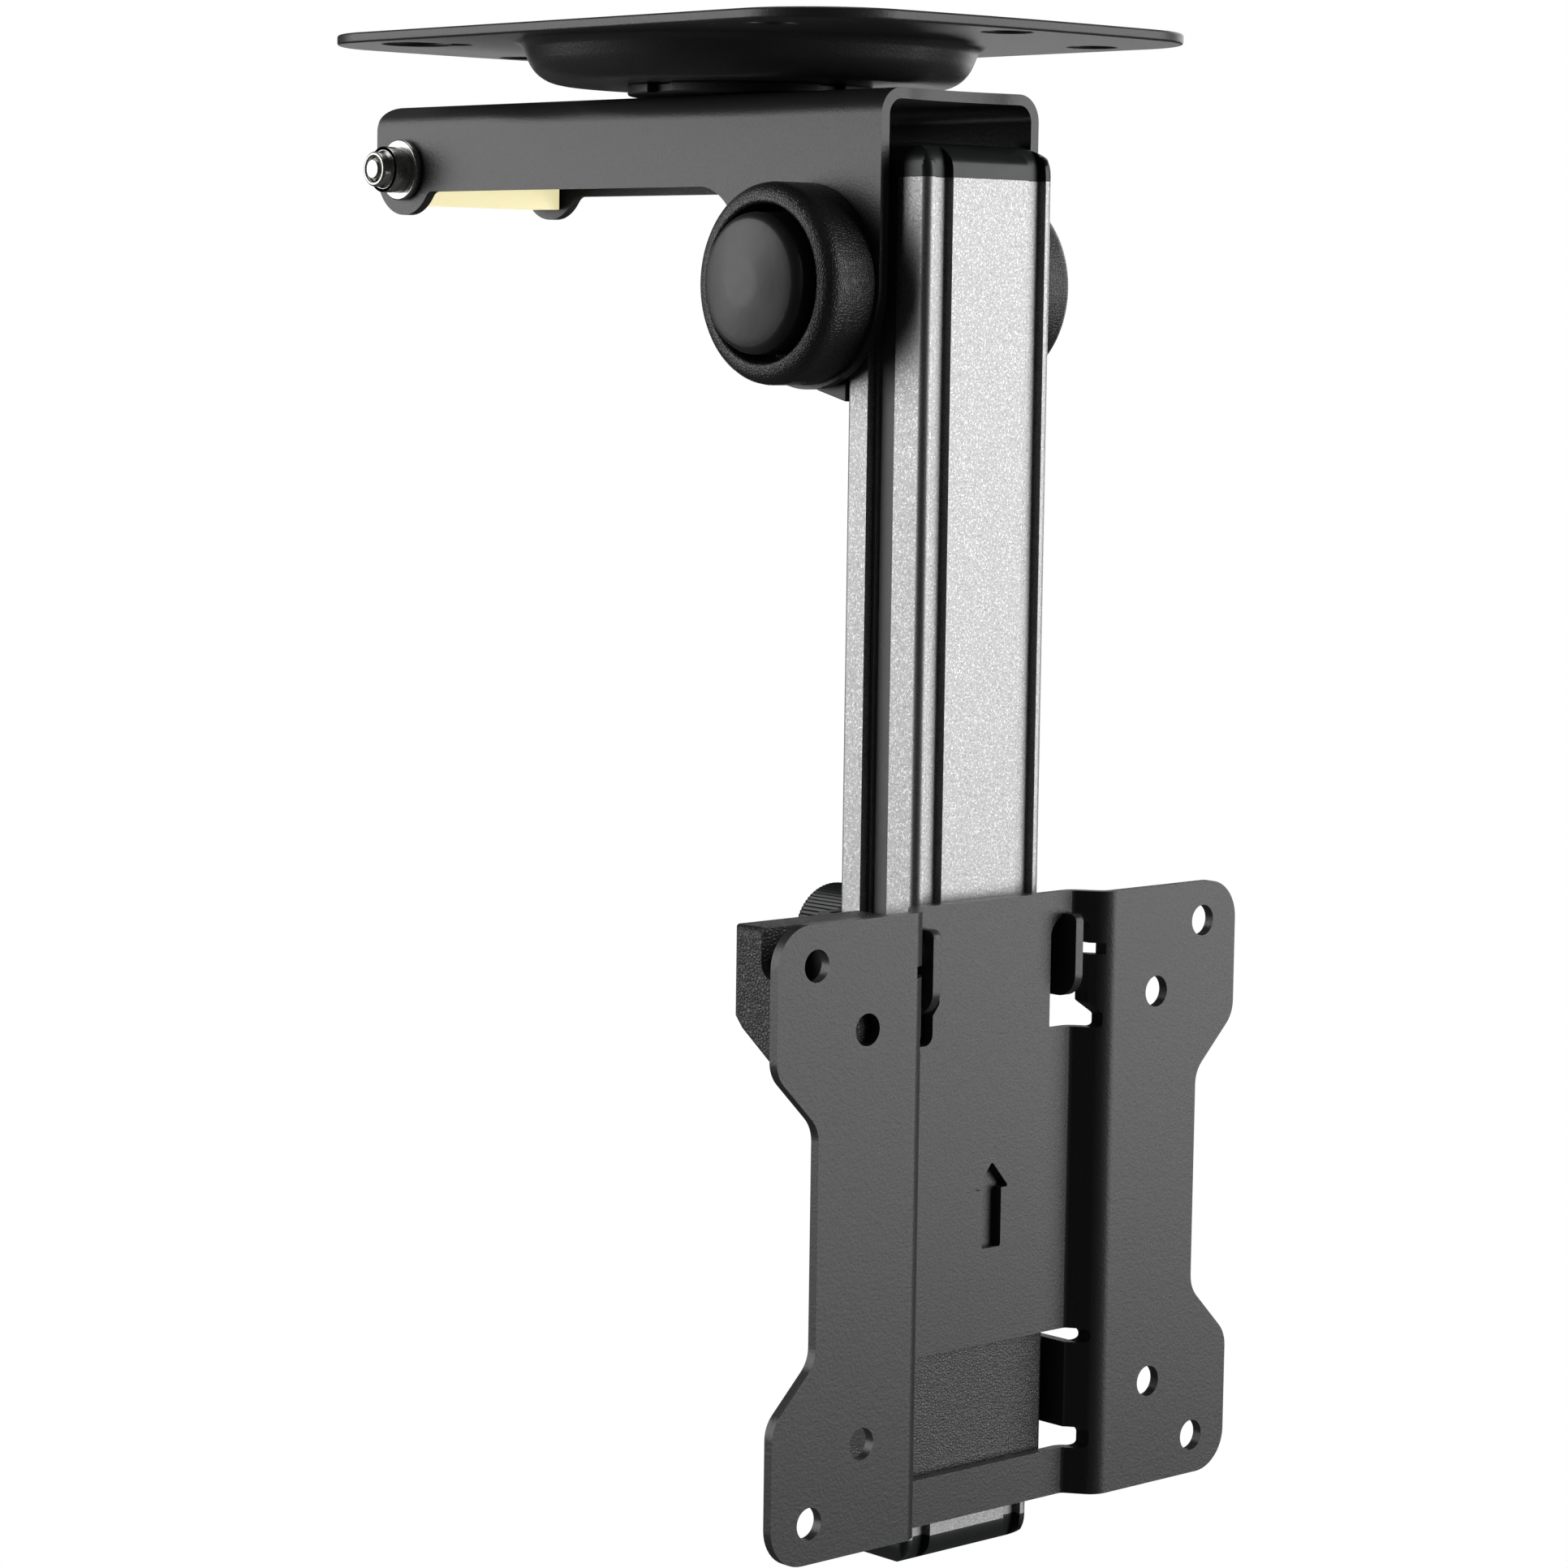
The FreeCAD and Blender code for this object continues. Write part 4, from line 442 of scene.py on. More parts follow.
@dataclass(frozen=True)
class Finish:
    """What all finishes share: a name and the base of their shader."""

    name: str
    colour: Colour
    roughness: float
    specular: float = 0.5

    def material(self) -> bpy.types.Material:
        """Finds the finish's material, or builds it.

        Returns:
            The material, with its shader and patterns.
        """
        found = bpy.data.materials.get(self.name)
        if found:
            return found
        made = bpy.data.materials.new(self.name)
        made.use_nodes = True
        graph = ShaderGraph(made.node_tree)
        shader = graph.add("ShaderNodeBsdfPrincipled", {"Roughness": self.roughness,
                                                        "Specular IOR Level": self.specular})
        shader.inputs["Base Color"].default_value = (*self.colour, 1.0)
        end = graph.add("ShaderNodeOutputMaterial")
        graph.link(shader.outputs["BSDF"], end.inputs["Surface"])
        made.diffuse_color = (*self.colour, 1.0)
        self.dress(graph, shader)
        return made

    def dress(self, graph: ShaderGraph, shader: Node) -> None:
        """Adds the patterns that feed the material's Principled BSDF."""
        raise NotImplementedError

    @staticmethod
    def bump(graph: ShaderGraph, shader: Node, height: Socket, strength: float, depth: float) -> None:
        """Feeds a height to the shader's normal.

        Args:
            graph: Tree of the material.
            shader: Its Principled BSDF.
            height: Pattern between 0 and 1.
            strength: Share of the effect.
            depth: Height of a full step, in metres.
        """
        node = graph.add("ShaderNodeBump", {"Strength": strength, "Distance": depth})
        graph.link(height, node.inputs["Height"])
        graph.link(node.outputs["Normal"], shader.inputs["Normal"])

    def gloss(self, graph: ShaderGraph, shader: Node, source: Socket,
              less: float, more: float, start: float = 0.0, end: float = 1.0) -> None:
        """Lets the roughness follow a pattern, from less at its start to more at its end."""
        rough = graph.spread(source, self.roughness - less, self.roughness + more, start, end)
        graph.link(rough, shader.inputs["Roughness"])

    def shaded(self, share: float) -> tuple[float, ...]:
        """Returns the finish's colour times a share."""
        return tuple(share * channel for channel in self.colour)

    def tinted(self, graph: ShaderGraph, shader: Node, factor: Socket, low: tuple[float, ...]) -> None:
        """Feeds the shader a mix from another colour to the finish's own."""
        graph.link(graph.blend_colours(factor, low, self.colour), shader.inputs["Base Color"])

    @staticmethod
    def worn(graph: ShaderGraph, shader: Node, base: Source, edge: Source,
             reach: float, breakup: float, amount: float) -> None:
        """Feeds the shader its base colour, mixed towards another within reach of its sharp edges."""
        wear = EdgeWear().place(graph, {"Reach": reach, "Breakup Scale": breakup, "Amount": amount})
        graph.link(graph.blend_colours(wear.outputs["Mask"], base, edge), shader.inputs["Base Color"])


@dataclass(frozen=True)
class PowderCoat(Finish):
    """Black powder coat over steel: orange peel, and a paler line where it is thin on edges."""

    edge_colour: Colour = (0.16, 0.16, 0.16)
    speck_colour: Colour = (0.20, 0.20, 0.20)
    peel_depth: float = 0.00007
    wear: float = 0.22

    def dress(self, graph: ShaderGraph, shader: Node) -> None:
        """Adds shade changes, edges, pale specks, gloss changes and the peel.

        Args:
            graph: Tree of the material.
            shader: Its Principled BSDF.
        """
        peel = OrangePeel().place(graph, {"Ripple Scale": 1900.0, "Grain Scale": 4400.0, "Grain Share": 0.5})
        specks = Fleck().place(graph, {"Scale": 1900.0, "Cover": 0.0})
        shade = Mottle().place(graph, {"Scale": 22.0, "Fine Scale": 260.0})
        base = graph.blend_colours(shade.outputs["Shade"], self.shaded(0.84), self.colour)
        dusted = graph.blend_colours(specks.outputs["Bright"], base, self.speck_colour)
        self.worn(graph, shader, dusted, self.edge_colour, reach=0.0007, breakup=2400.0, amount=self.wear)
        self.gloss(graph, shader, peel.outputs["Grain"], less=0.07, more=0.07, start=0.3, end=0.7)
        self.bump(graph, shader, peel.outputs["Height"], strength=0.55, depth=self.peel_depth)


@dataclass(frozen=True)
class MouldedPlastic(Finish):
    """Smooth moulded plastic with a faint flow pattern."""

    flow_depth: float = 0.00003
    edge_colour: Colour = (0.03, 0.032, 0.032)

    def dress(self, graph: ShaderGraph, shader: Node) -> None:
        """Adds shade changes, softly worn edges and a faint surface ripple.

        Args:
            graph: Tree of the material.
            shader: Its Principled BSDF.
        """
        shade = Mottle().place(graph, {"Scale": 45.0, "Fine Scale": 420.0})
        peel = OrangePeel().place(graph, {"Ripple Scale": 380.0, "Grain Scale": 4200.0, "Grain Share": 0.2})
        base = graph.blend_colours(shade.outputs["Shade"], self.shaded(0.78), self.colour)
        self.worn(graph, shader, base, self.edge_colour, reach=0.0004, breakup=3000.0, amount=0.3)
        self.gloss(graph, shader, shade.outputs["Shade"], less=0.04, more=0.05)
        self.bump(graph, shader, peel.outputs["Height"], strength=0.4, depth=self.flow_depth)


@dataclass(frozen=True)
class GrainedPlastic(Finish):
    """Moulded plastic with a leather grain."""

    grain_scale: float = 850.0
    grain_depth: float = 0.00016

    def dress(self, graph: ShaderGraph, shader: Node) -> None:
        """Adds the grain, with painted shade darkening its creases.

        Args:
            graph: Tree of the material.
            shader: Its Principled BSDF.
        """
        grain = LeatherGrain().place(graph, {"Scale": self.grain_scale})
        shade = Mottle().place(graph, {"Scale": 40.0, "Fine Scale": 500.0})
        pale = tuple(2.2 * channel + 0.04 for channel in self.colour)
        # Painted shade: the grain's creases are darkened to half the colour.
        base = graph.blend_colours(grain.outputs["Crease"], self.colour, self.shaded(0.5))
        self.worn(graph, shader, base, pale, reach=0.0007, breakup=1800.0, amount=0.5)
        self.gloss(graph, shader, shade.outputs["Shade"], less=0.05, more=0.05)
        self.bump(graph, shader, grain.outputs["Height"], strength=0.75, depth=self.grain_depth)


@dataclass(frozen=True)
class PlatedSteel(Finish):
    """Zinc-plated steel, bright with slow changes of tint."""

    tint: Colour = (0.62, 0.63, 0.60)

    def dress(self, graph: ShaderGraph, shader: Node) -> None:
        """Adds tint and gloss changes, with fine handling marks.

        Args:
            graph: Tree of the material.
            shader: Its Principled BSDF.
        """
        shader.inputs["Metallic"].default_value = 1.0
        shade = Mottle().place(graph, {"Scale": 160.0, "Fine Scale": 1400.0})
        peel = OrangePeel().place(graph, {"Ripple Scale": 1500.0, "Grain Scale": 5200.0, "Grain Share": 0.5})
        self.tinted(graph, shader, shade.outputs["Shade"], self.tint)
        self.gloss(graph, shader, peel.outputs["Grain"], less=0.06, more=0.12, start=0.3, end=0.7)
        self.bump(graph, shader, peel.outputs["Height"], strength=0.35, depth=0.00003)


@dataclass(frozen=True)
class BlastedAluminium(Finish):
    """Bead-blasted, anodised aluminium with a metallic fleck."""

    bright: Colour = (0.60, 0.60, 0.60)
    dark: Colour = (0.37, 0.37, 0.375)

    def dress(self, graph: ShaderGraph, shader: Node) -> None:
        """Adds bright and dark flecks, and their gloss and bump.

        Args:
            graph: Tree of the material.
            shader: Its Principled BSDF.
        """
        shader.inputs["Metallic"].default_value = 1.0
        fleck = Fleck().place(graph, {"Scale": 2600.0, "Cover": 0.72})
        base = graph.blend_colours(fleck.outputs["Dark"], self.colour, self.dark)
        sparkling = graph.blend_colours(fleck.outputs["Bright"], base, self.bright)
        self.worn(graph, shader, sparkling, self.bright, reach=0.0005, breakup=1500.0, amount=0.4)
        self.gloss(graph, shader, fleck.outputs["Bright"], less=0.0, more=-0.1)
        self.bump(graph, shader, fleck.outputs["Height"], strength=0.45, depth=0.00005)


@dataclass(frozen=True)
class PaleNylon(Finish):
    """Pale nylon, with a painted glow that only camera rays see."""

    # Strength of the painted glow: emission that makes the pad look lit, for camera rays only.
    glow: float = 0.75
    painted_glow_colour: tuple[float, ...] = (1.0, 0.90, 0.52, 1.0)
    dullness: tuple[float, ...] = (0.86, 0.84, 0.72)

    def dress(self, graph: ShaderGraph, shader: Node) -> None:
        """Adds slow changes of tone, a painted glow for camera rays, and a faint moulded texture.

        Args:
            graph: Tree of the material.
            shader: Its Principled BSDF.
        """
        for socket, value in (("Weight", 0.5), ("Radius", (1.0, 0.8, 0.45)), ("Scale", 0.006)):
            shader.inputs["Subsurface " + socket].default_value = value
        # Painted glow: the pad emits its pale colour to camera rays, as if more light fell on it.
        shader.inputs["Emission Color"].default_value = self.painted_glow_colour
        path = graph.add("ShaderNodeLightPath")
        glow = graph.maths("MULTIPLY", path.outputs["Is Camera Ray"], self.glow)
        graph.link(glow, shader.inputs["Emission Strength"])
        shade = Mottle().place(graph, {"Scale": 90.0, "Fine Scale": 700.0})
        peel = OrangePeel().place(graph, {"Ripple Scale": 900.0, "Grain Scale": 3600.0, "Grain Share": 0.3})
        dull = tuple(share * channel for share, channel in zip(self.dullness, self.colour))
        self.tinted(graph, shader, shade.outputs["Shade"], dull)
        self.bump(graph, shader, peel.outputs["Height"], strength=0.25, depth=0.00005)


POWDER_BLACK = PowderCoat("black_powder_coat", (0.056, 0.057, 0.057), 0.36, 0.66)
# A darker, duller copy of the black powder coat, used as painted shade on the swivel disc between the ceiling
# plate and the channel.
SHADED_POWDER_BLACK = PowderCoat("black_powder_coat_dull_painted_shade", (0.036, 0.037, 0.037), 0.46, 0.5, wear=0.15)
SMOOTH_BLACK = MouldedPlastic("smooth_black_plastic", (0.030, 0.034, 0.034), 0.34, 0.5)
CAP_BLACK = MouldedPlastic("cap_black_plastic", (0.040, 0.041, 0.041), 0.38, 0.66, flow_depth=0.00007)
COVER_BLACK = GrainedPlastic("grained_cover_plastic", (0.038, 0.039, 0.039), 0.38, 0.66,
                             grain_scale=1700.0, grain_depth=0.00007)
# Grey of the slot strips, set lighter as painted light, since in their recessed slots they sit in shade.
STRIP_PAINTED_LIGHT_GREY = MouldedPlastic("slot_strip_plastic_painted_light", (0.135, 0.140, 0.135), 0.42, 0.6)
TEXTURED_BLACK = GrainedPlastic("grained_black_plastic", (0.060, 0.061, 0.061), 0.42, 0.66,
                                grain_scale=1400.0, grain_depth=0.00013)
LINER_BLACK = GrainedPlastic("grained_liner_plastic", (0.064, 0.065, 0.065), 0.4, 0.8,
                             grain_scale=1700.0, grain_depth=0.00006)
ZINC = PlatedSteel("zinc_plate", (0.66, 0.66, 0.64), 0.26)
SPRING_STEEL = PlatedSteel("spring_steel", (0.48, 0.48, 0.49), 0.28, tint=(0.40, 0.40, 0.40))
ALUMINIUM = BlastedAluminium("blasted_aluminium", (0.465, 0.465, 0.47), 0.5)
PALE_NYLON = PaleNylon("pale_nylon", (0.96, 0.91, 0.66), 0.42)


# Mesh helpers


@dataclass(frozen=True)
class Corner:
    """One corner of a turned profile: its radius, its place along the axis, and its rounding."""

    radius: float
    along: float
    rounding: float = 0.0


class Workpiece:
    """One piece of mesh, from its first operator to the finished object.
    """

    def __init__(self, name: str) -> None:
        """Starts an empty mesh under the name of the finished object."""
        self.name = name
        self.mesh = bmesh.new()

    def lathe(self, profile: Sequence[Corner], steps: int = 96, closed: bool = False) -> "Workpiece":
        """Turns a profile once round local Z.

        Args:
            profile: Corners in order; one on the axis closes that end.
            steps: Divisions of the full turn.
            closed: Whether the profile is a loop that keeps clear of the axis.

        Returns:
            The piece itself.
        """
        verts = [self.mesh.verts.new((corner.radius, 0.0, corner.along)) for corner in profile]
        pairs = list(zip(verts, verts[1:])) + ([(verts[-1], verts[0])] if closed else [])
        for first, last in pairs:
            self.mesh.edges.new((first, last))
        for vert, corner in zip(verts, profile):
            if corner.rounding > 0.0:
                self.bevel([vert], corner.rounding, 5, "VERTICES")
        geometry = self.mesh.verts[:] + self.mesh.edges[:]
        bmesh.ops.spin(self.mesh, geom=geometry, cent=(0, 0, 0), axis=(0, 0, 1), dvec=(0, 0, 0),
                       angle=FULL_TURN, steps=steps, use_merge=True, use_duplicate=False)
        return self.close_up()

    def hexagon(self, across_flats: float, depth: float, chamfer: float, base: float = 0.0) -> "Workpiece":
        """Adds a hexagonal prism along local Z, its corners chamfered as a nut's are.

        Args:
            across_flats: Width between two flat sides.
            depth: Height of the prism.
            chamfer: How far the corners are taken back.
            base: Where the prism starts.

        Returns:
            The piece itself.
        """
        radius = across_flats / math.sqrt(3)
        start = Matrix.Translation((0, 0, base))
        made = bmesh.ops.create_circle(self.mesh, cap_ends=True, segments=6, radius=radius, matrix=start)
        floor = made["verts"][0].link_faces[:]
        grown = bmesh.ops.extrude_face_region(self.mesh, geom=floor, use_keep_orig=True)
        top = [item for item in grown["geom"] if isinstance(item, bmesh.types.BMVert)]
        bmesh.ops.translate(self.mesh, verts=top, vec=(0, 0, depth))
        corners = made["verts"][:] + top
        self.bevel(corners, chamfer, 3, "VERTICES")
        return self.close_up()

    def thread(self, radius: float, pitch: float, turns: int, base: float) -> "Workpiece":
        """Winds a closed thread ridge round local Z.

        Args:
            radius: Outer radius of the thread.
            pitch: Rise of one turn.
            turns: Number of turns.
            base: Where the thread starts.

        Returns:
            The piece itself.
        """
        root = radius - pitch * THREAD_DEPTH
        ridge = [(root, base), (root, base + pitch * THREAD_FOOT), (radius, base + pitch * THREAD_FOOT / 2)]
        verts = [self.mesh.verts.new((reach, 0.0, height)) for reach, height in ridge]
        face = self.mesh.faces.new(verts)
        steps = THREAD_STEPS
        bmesh.ops.spin(self.mesh, geom=[face] + face.edges[:] + verts, cent=(0, 0, 0), axis=(0, 0, 1),
                       dvec=(0, 0, pitch / steps), angle=FULL_TURN * turns, steps=steps * turns,
                       use_merge=False, use_duplicate=False)
        return self.close_up()

    def copy_node(self, node: str) -> "Workpiece":
        """Takes over a CAD node's shape, its loose triangles joined and its flat faces made whole.

        Args:
            node: Name of the node.

        Returns:
            The piece itself.
        """
        self.mesh.from_mesh(bpy.data.objects[node].data)
        bmesh.ops.remove_doubles(self.mesh, verts=self.mesh.verts[:], dist=MERGE_REACH)
        bmesh.ops.dissolve_limit(self.mesh, angle_limit=math.radians(FLAT_ANGLE), delimit=set(),
                                 use_dissolve_boundaries=False, verts=self.mesh.verts[:],
                                 edges=self.mesh.edges[:])
        return self

    def round_edges(self, width: float, segments: int = 2, sharpest: float = 32.0,
                    test: Optional[Callable[[bmesh.types.BMEdge], bool]] = None) -> "Workpiece":
        """Rounds the outer edges that are sharper than an angle.

        Args:
            width: Set-back of the rounding.
            segments: Faces across it.
            sharpest: Angle between two faces, in degrees, above which their edge is rounded.
            test: Which of those edges are meant, or all of them.

        Returns:
            The piece itself.
        """
        limit = math.radians(sharpest)
        chosen = [edge for edge in self.mesh.edges
                  if edge.is_manifold and edge.is_convex and edge.calc_face_angle() > limit
                  and (test is None or test(edge))]
        self.bevel(chosen, width, segments, "EDGES")
        return self

    def bevel(self, geometry: Sequence[object], offset: float, segments: int, affect: str) -> None:
        """Bevels corners or edges by an offset, with a round profile."""
        bmesh.ops.bevel(self.mesh, geom=geometry, offset=offset, offset_type="OFFSET", segments=segments,
                        profile=0.5, affect=affect, material=-1, clamp_overlap=True, loop_slide=True)

    def close_up(self) -> "Workpiece":
        """Merges doubles and turns the faces outwards.

        Returns:
            The piece itself.
        """
        bmesh.ops.remove_doubles(self.mesh, verts=self.mesh.verts[:], dist=MERGE_REACH)
        bmesh.ops.recalc_face_normals(self.mesh, faces=self.mesh.faces[:])
        return self

    def place(self, axis: Axis, at: Sequence[float], flip: bool = False) -> "Workpiece":
        """Stands the piece on an axis of the part.

        Args:
            axis: Axis that local Z goes to.
            at: Where the piece's own origin goes.
            flip: Whether local Z points the other way along the axis.

        Returns:
            The piece itself.
        """
        over = Matrix.Rotation(math.pi, 4, "X") if flip else Matrix.Identity(4)
        whole = Matrix.Translation(Vector(at)) @ axis.turn() @ over
        bmesh.ops.transform(self.mesh, matrix=whole, verts=self.mesh.verts[:])
        return self

    def finish(self, body: Body, slot: Slot, finish: Finish, replaces: Sequence[str] = (),
               smooth_angle: float = 34.0) -> bpy.types.Object:
        """Turns the mesh into an object that rides on its body.

        Args:
            body: Body that carries it.
            slot: Material slot of the record; not used.
            finish: Its finish.
            replaces: CAD nodes that it stands for.
            smooth_angle: Angle above which an edge stays sharp, in degrees.

        Returns:
            The finished object.
        """
        data = bpy.data.meshes.new(self.name)
        self.mesh.to_mesh(data)
        self.mesh.free()
        data.polygons.foreach_set("use_smooth", [True] * len(data.polygons))
        data.set_sharp_from_angle(angle=math.radians(smooth_angle))
        data.materials.append(finish.material())
        made = new_object(self.name, data)
        level = made.modifiers.new("even_normals", "WEIGHTED_NORMAL")
        level.keep_sharp = True
        level.weight = NORMAL_WEIGHT
        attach(made, body.value)
        if replaces:
            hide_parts(*replaces)
        LOG.info("%s: %d faces on %s", self.name, len(data.polygons), body.value)
        return made


def new_object(name: str, data: bpy.types.ID) -> bpy.types.Object:
    """Adds an object with its data to the scene.

    Args:
        name: Name of the object.
        data: Its mesh, camera or light.

    Returns:
        The object.
    """
    made = bpy.data.objects.new(name, data)
    bpy.context.scene.collection.objects.link(made)
    return made


def dress_node(node: str, finish: Finish) -> None:
    """Gives a CAD node that stays in view its finish.

    Args:
        node: Name of the node.
        finish: Its finish.
    """
    data = bpy.data.objects[node].data
    data.materials.clear()
    data.materials.append(finish.material())
    LOG.info("%s: dressed as it is", node)


def refine(node: str, body: Body, slot: Slot, finish: Finish, width: float, segments: int = 2,
           reshape: Optional[Callable[[Workpiece], None]] = None) -> bpy.types.Object:
    """Stands a copy of a CAD node in the node's place.

    Args:
        node: Name of the node.
        body: Body that carries it.
        slot: Material slot of the record.
        finish: Its finish.
        width: Set-back of the rounded edges, or 0 for none.
        segments: Faces across each rounding.
        reshape: Change of shape before the rounding, or nothing.

    Returns:
        The finished object.
    """
    piece = Workpiece(node + "_dressed").copy_node(node)
    if reshape:
        reshape(piece)
    if width > 0:
        piece.round_edges(width, segments)
    return piece.finish(body, slot, finish, [node])


@dataclass(frozen=True)
class NodeBox:
    """A CAD node's box, read from the frame."""

    low: Vector
    high: Vector

    @classmethod
    def of(cls, node: str) -> "NodeBox":
        """Returns the box of a node."""
        low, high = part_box(node)
        return cls(low, high)

    def middle(self) -> Vector:
        """Returns the centre of the box."""
        return (self.low + self.high) / 2

    def size(self) -> Vector:
        """Returns the box's three lengths."""
        return self.high - self.low

    def foot(self, axis: Axis) -> Vector:
        """Finds where a piece on an axis starts.

        Args:
            axis: Axis that the piece stands on.

        Returns:
            The centre of the box's lower face along the axis.
        """
        spot = self.middle()
        spot[axis.index()] = self.low[axis.index()]
        return spot


# Sub-assemblies


@dataclass
class CeilingPlate:
    """The pressed plate under the ceiling."""

    edge_round: float = 0.0006

    def build(self) -> None:
        """Builds and dresses the plate."""
        refine("ceiling_plate", Body.ROOT, Slot.POWDER, POWDER_BLACK, self.edge_round, segments=3)


@dataclass
class SwivelStack:
    """Bolt, disc, washers, disc spring and lock nut that the channel turns on."""

    nut_bore: float = 0.0041
    nut_chamfer: float = 0.0009
    nut_share: float = 0.72
    collar_share: float = 0.4
    collar_foot: float = 0.44
    collar_top: float = 0.46
    collar_round: float = 0.0008

    def build(self) -> None:
        """Builds and dresses the stack."""
        # The swivel disc gets the darker powder coat copy as painted shade.
        for node, slot, finish, width in (("disc", Slot.POWDER, SHADED_POWDER_BLACK, 0.0004),
                                          ("bolt", Slot.ZINC, ZINC, 0.0002),
                                          ("friction_washer", Slot.SMOOTH, SMOOTH_BLACK, 0.0002),
                                          ("washer", Slot.ZINC, ZINC, 0.00015),
                                          ("disc_spring", Slot.ZINC, SPRING_STEEL, 0.0001)):
            refine("swivel_" + node, Body.ROOT, slot, finish, width)
        self.nut()

    def nut(self) -> None:
        """Builds the chamfered lock nut with its collar."""
        box = NodeBox.of("swivel_lock_nut")
        size = box.size()
        flats = min(size.x, size.y)
        piece = Workpiece("swivel_nut_dressed")
        collar = size.z * self.collar_share
        piece.hexagon(flats, size.z * self.nut_share, self.nut_chamfer, size.z * (1.0 - self.nut_share))
        piece.lathe([Corner(self.nut_bore, 0.0), Corner(flats * self.collar_foot, 0.0, self.collar_round),
                     Corner(flats * self.collar_top, collar), Corner(self.nut_bore, collar)],
                    steps=64, closed=True)
        piece.place(Axis.Z, box.foot(Axis.Z))
        piece.finish(Body.ROOT, Slot.ZINC, ZINC, ["swivel_lock_nut"])


@dataclass
class ChannelBracket:
    """The folded channel with its web and two lobed sides."""

    edge_round: float = 0.00065
    side_depth: float = 0.0172
    lug_radius: float = 0.009
    lug_fillet: float = 0.0025
    reach: float = 0.00004

    def build(self) -> None:
        """Builds and dresses the channel."""
        refine("channel_bracket", Body.CHANNEL, Slot.POWDER, POWDER_BLACK, self.edge_round,
               segments=3, reshape=self.smooth_lugs)

    def smooth_lugs(self, piece: Workpiece) -> None:
        """Leads the sides' straight edge into the far lugs by one hollow, closing the narrow slit there.

        Args:
            piece: Copy of the CAD node, not yet rounded.
        """
        bolt = NodeBox.of("stop_bolt").middle()
        low = NodeBox.of("channel_bracket").high.z - self.side_depth - self.lug_fillet
        old_y = bolt.y - self.lug_radius - self.lug_fillet
        rise = bolt.z - low
        new_y = bolt.y - math.sqrt((self.lug_radius + self.lug_fillet) ** 2 - rise * rise)
        last = math.atan2(rise, bolt.y - new_y)
        meet = self.on_arc(new_y, low, last)
        for vert in piece.mesh.verts:
            spot = vert.co
            along, up = spot.y - old_y, spot.z - low
            on_hollow = abs(math.hypot(along, up) - self.lug_fillet) < self.reach
            on_lug = abs(math.hypot(spot.y - bolt.y, spot.z - bolt.z) - self.lug_radius) < self.reach
            if on_hollow and along > -self.reach and up > -self.reach:
                angle = last + (math.pi / 2 - last) * max(0.0, math.atan2(up, along)) / (math.pi / 2)
                spot.y, spot.z = self.on_arc(new_y, low, angle)
            elif on_lug and spot.y < meet[0] and meet[1] < spot.z < bolt.z + self.reach:
                spot.y, spot.z = meet
        bmesh.ops.remove_doubles(piece.mesh, verts=piece.mesh.verts[:], dist=MERGE_REACH)

    def on_arc(self, along: float, up: float, angle: float) -> tuple[float, float]:
        """Returns a point of the hollow round a centre."""
        return along + self.lug_fillet * math.cos(angle), up + self.lug_fillet * math.sin(angle)


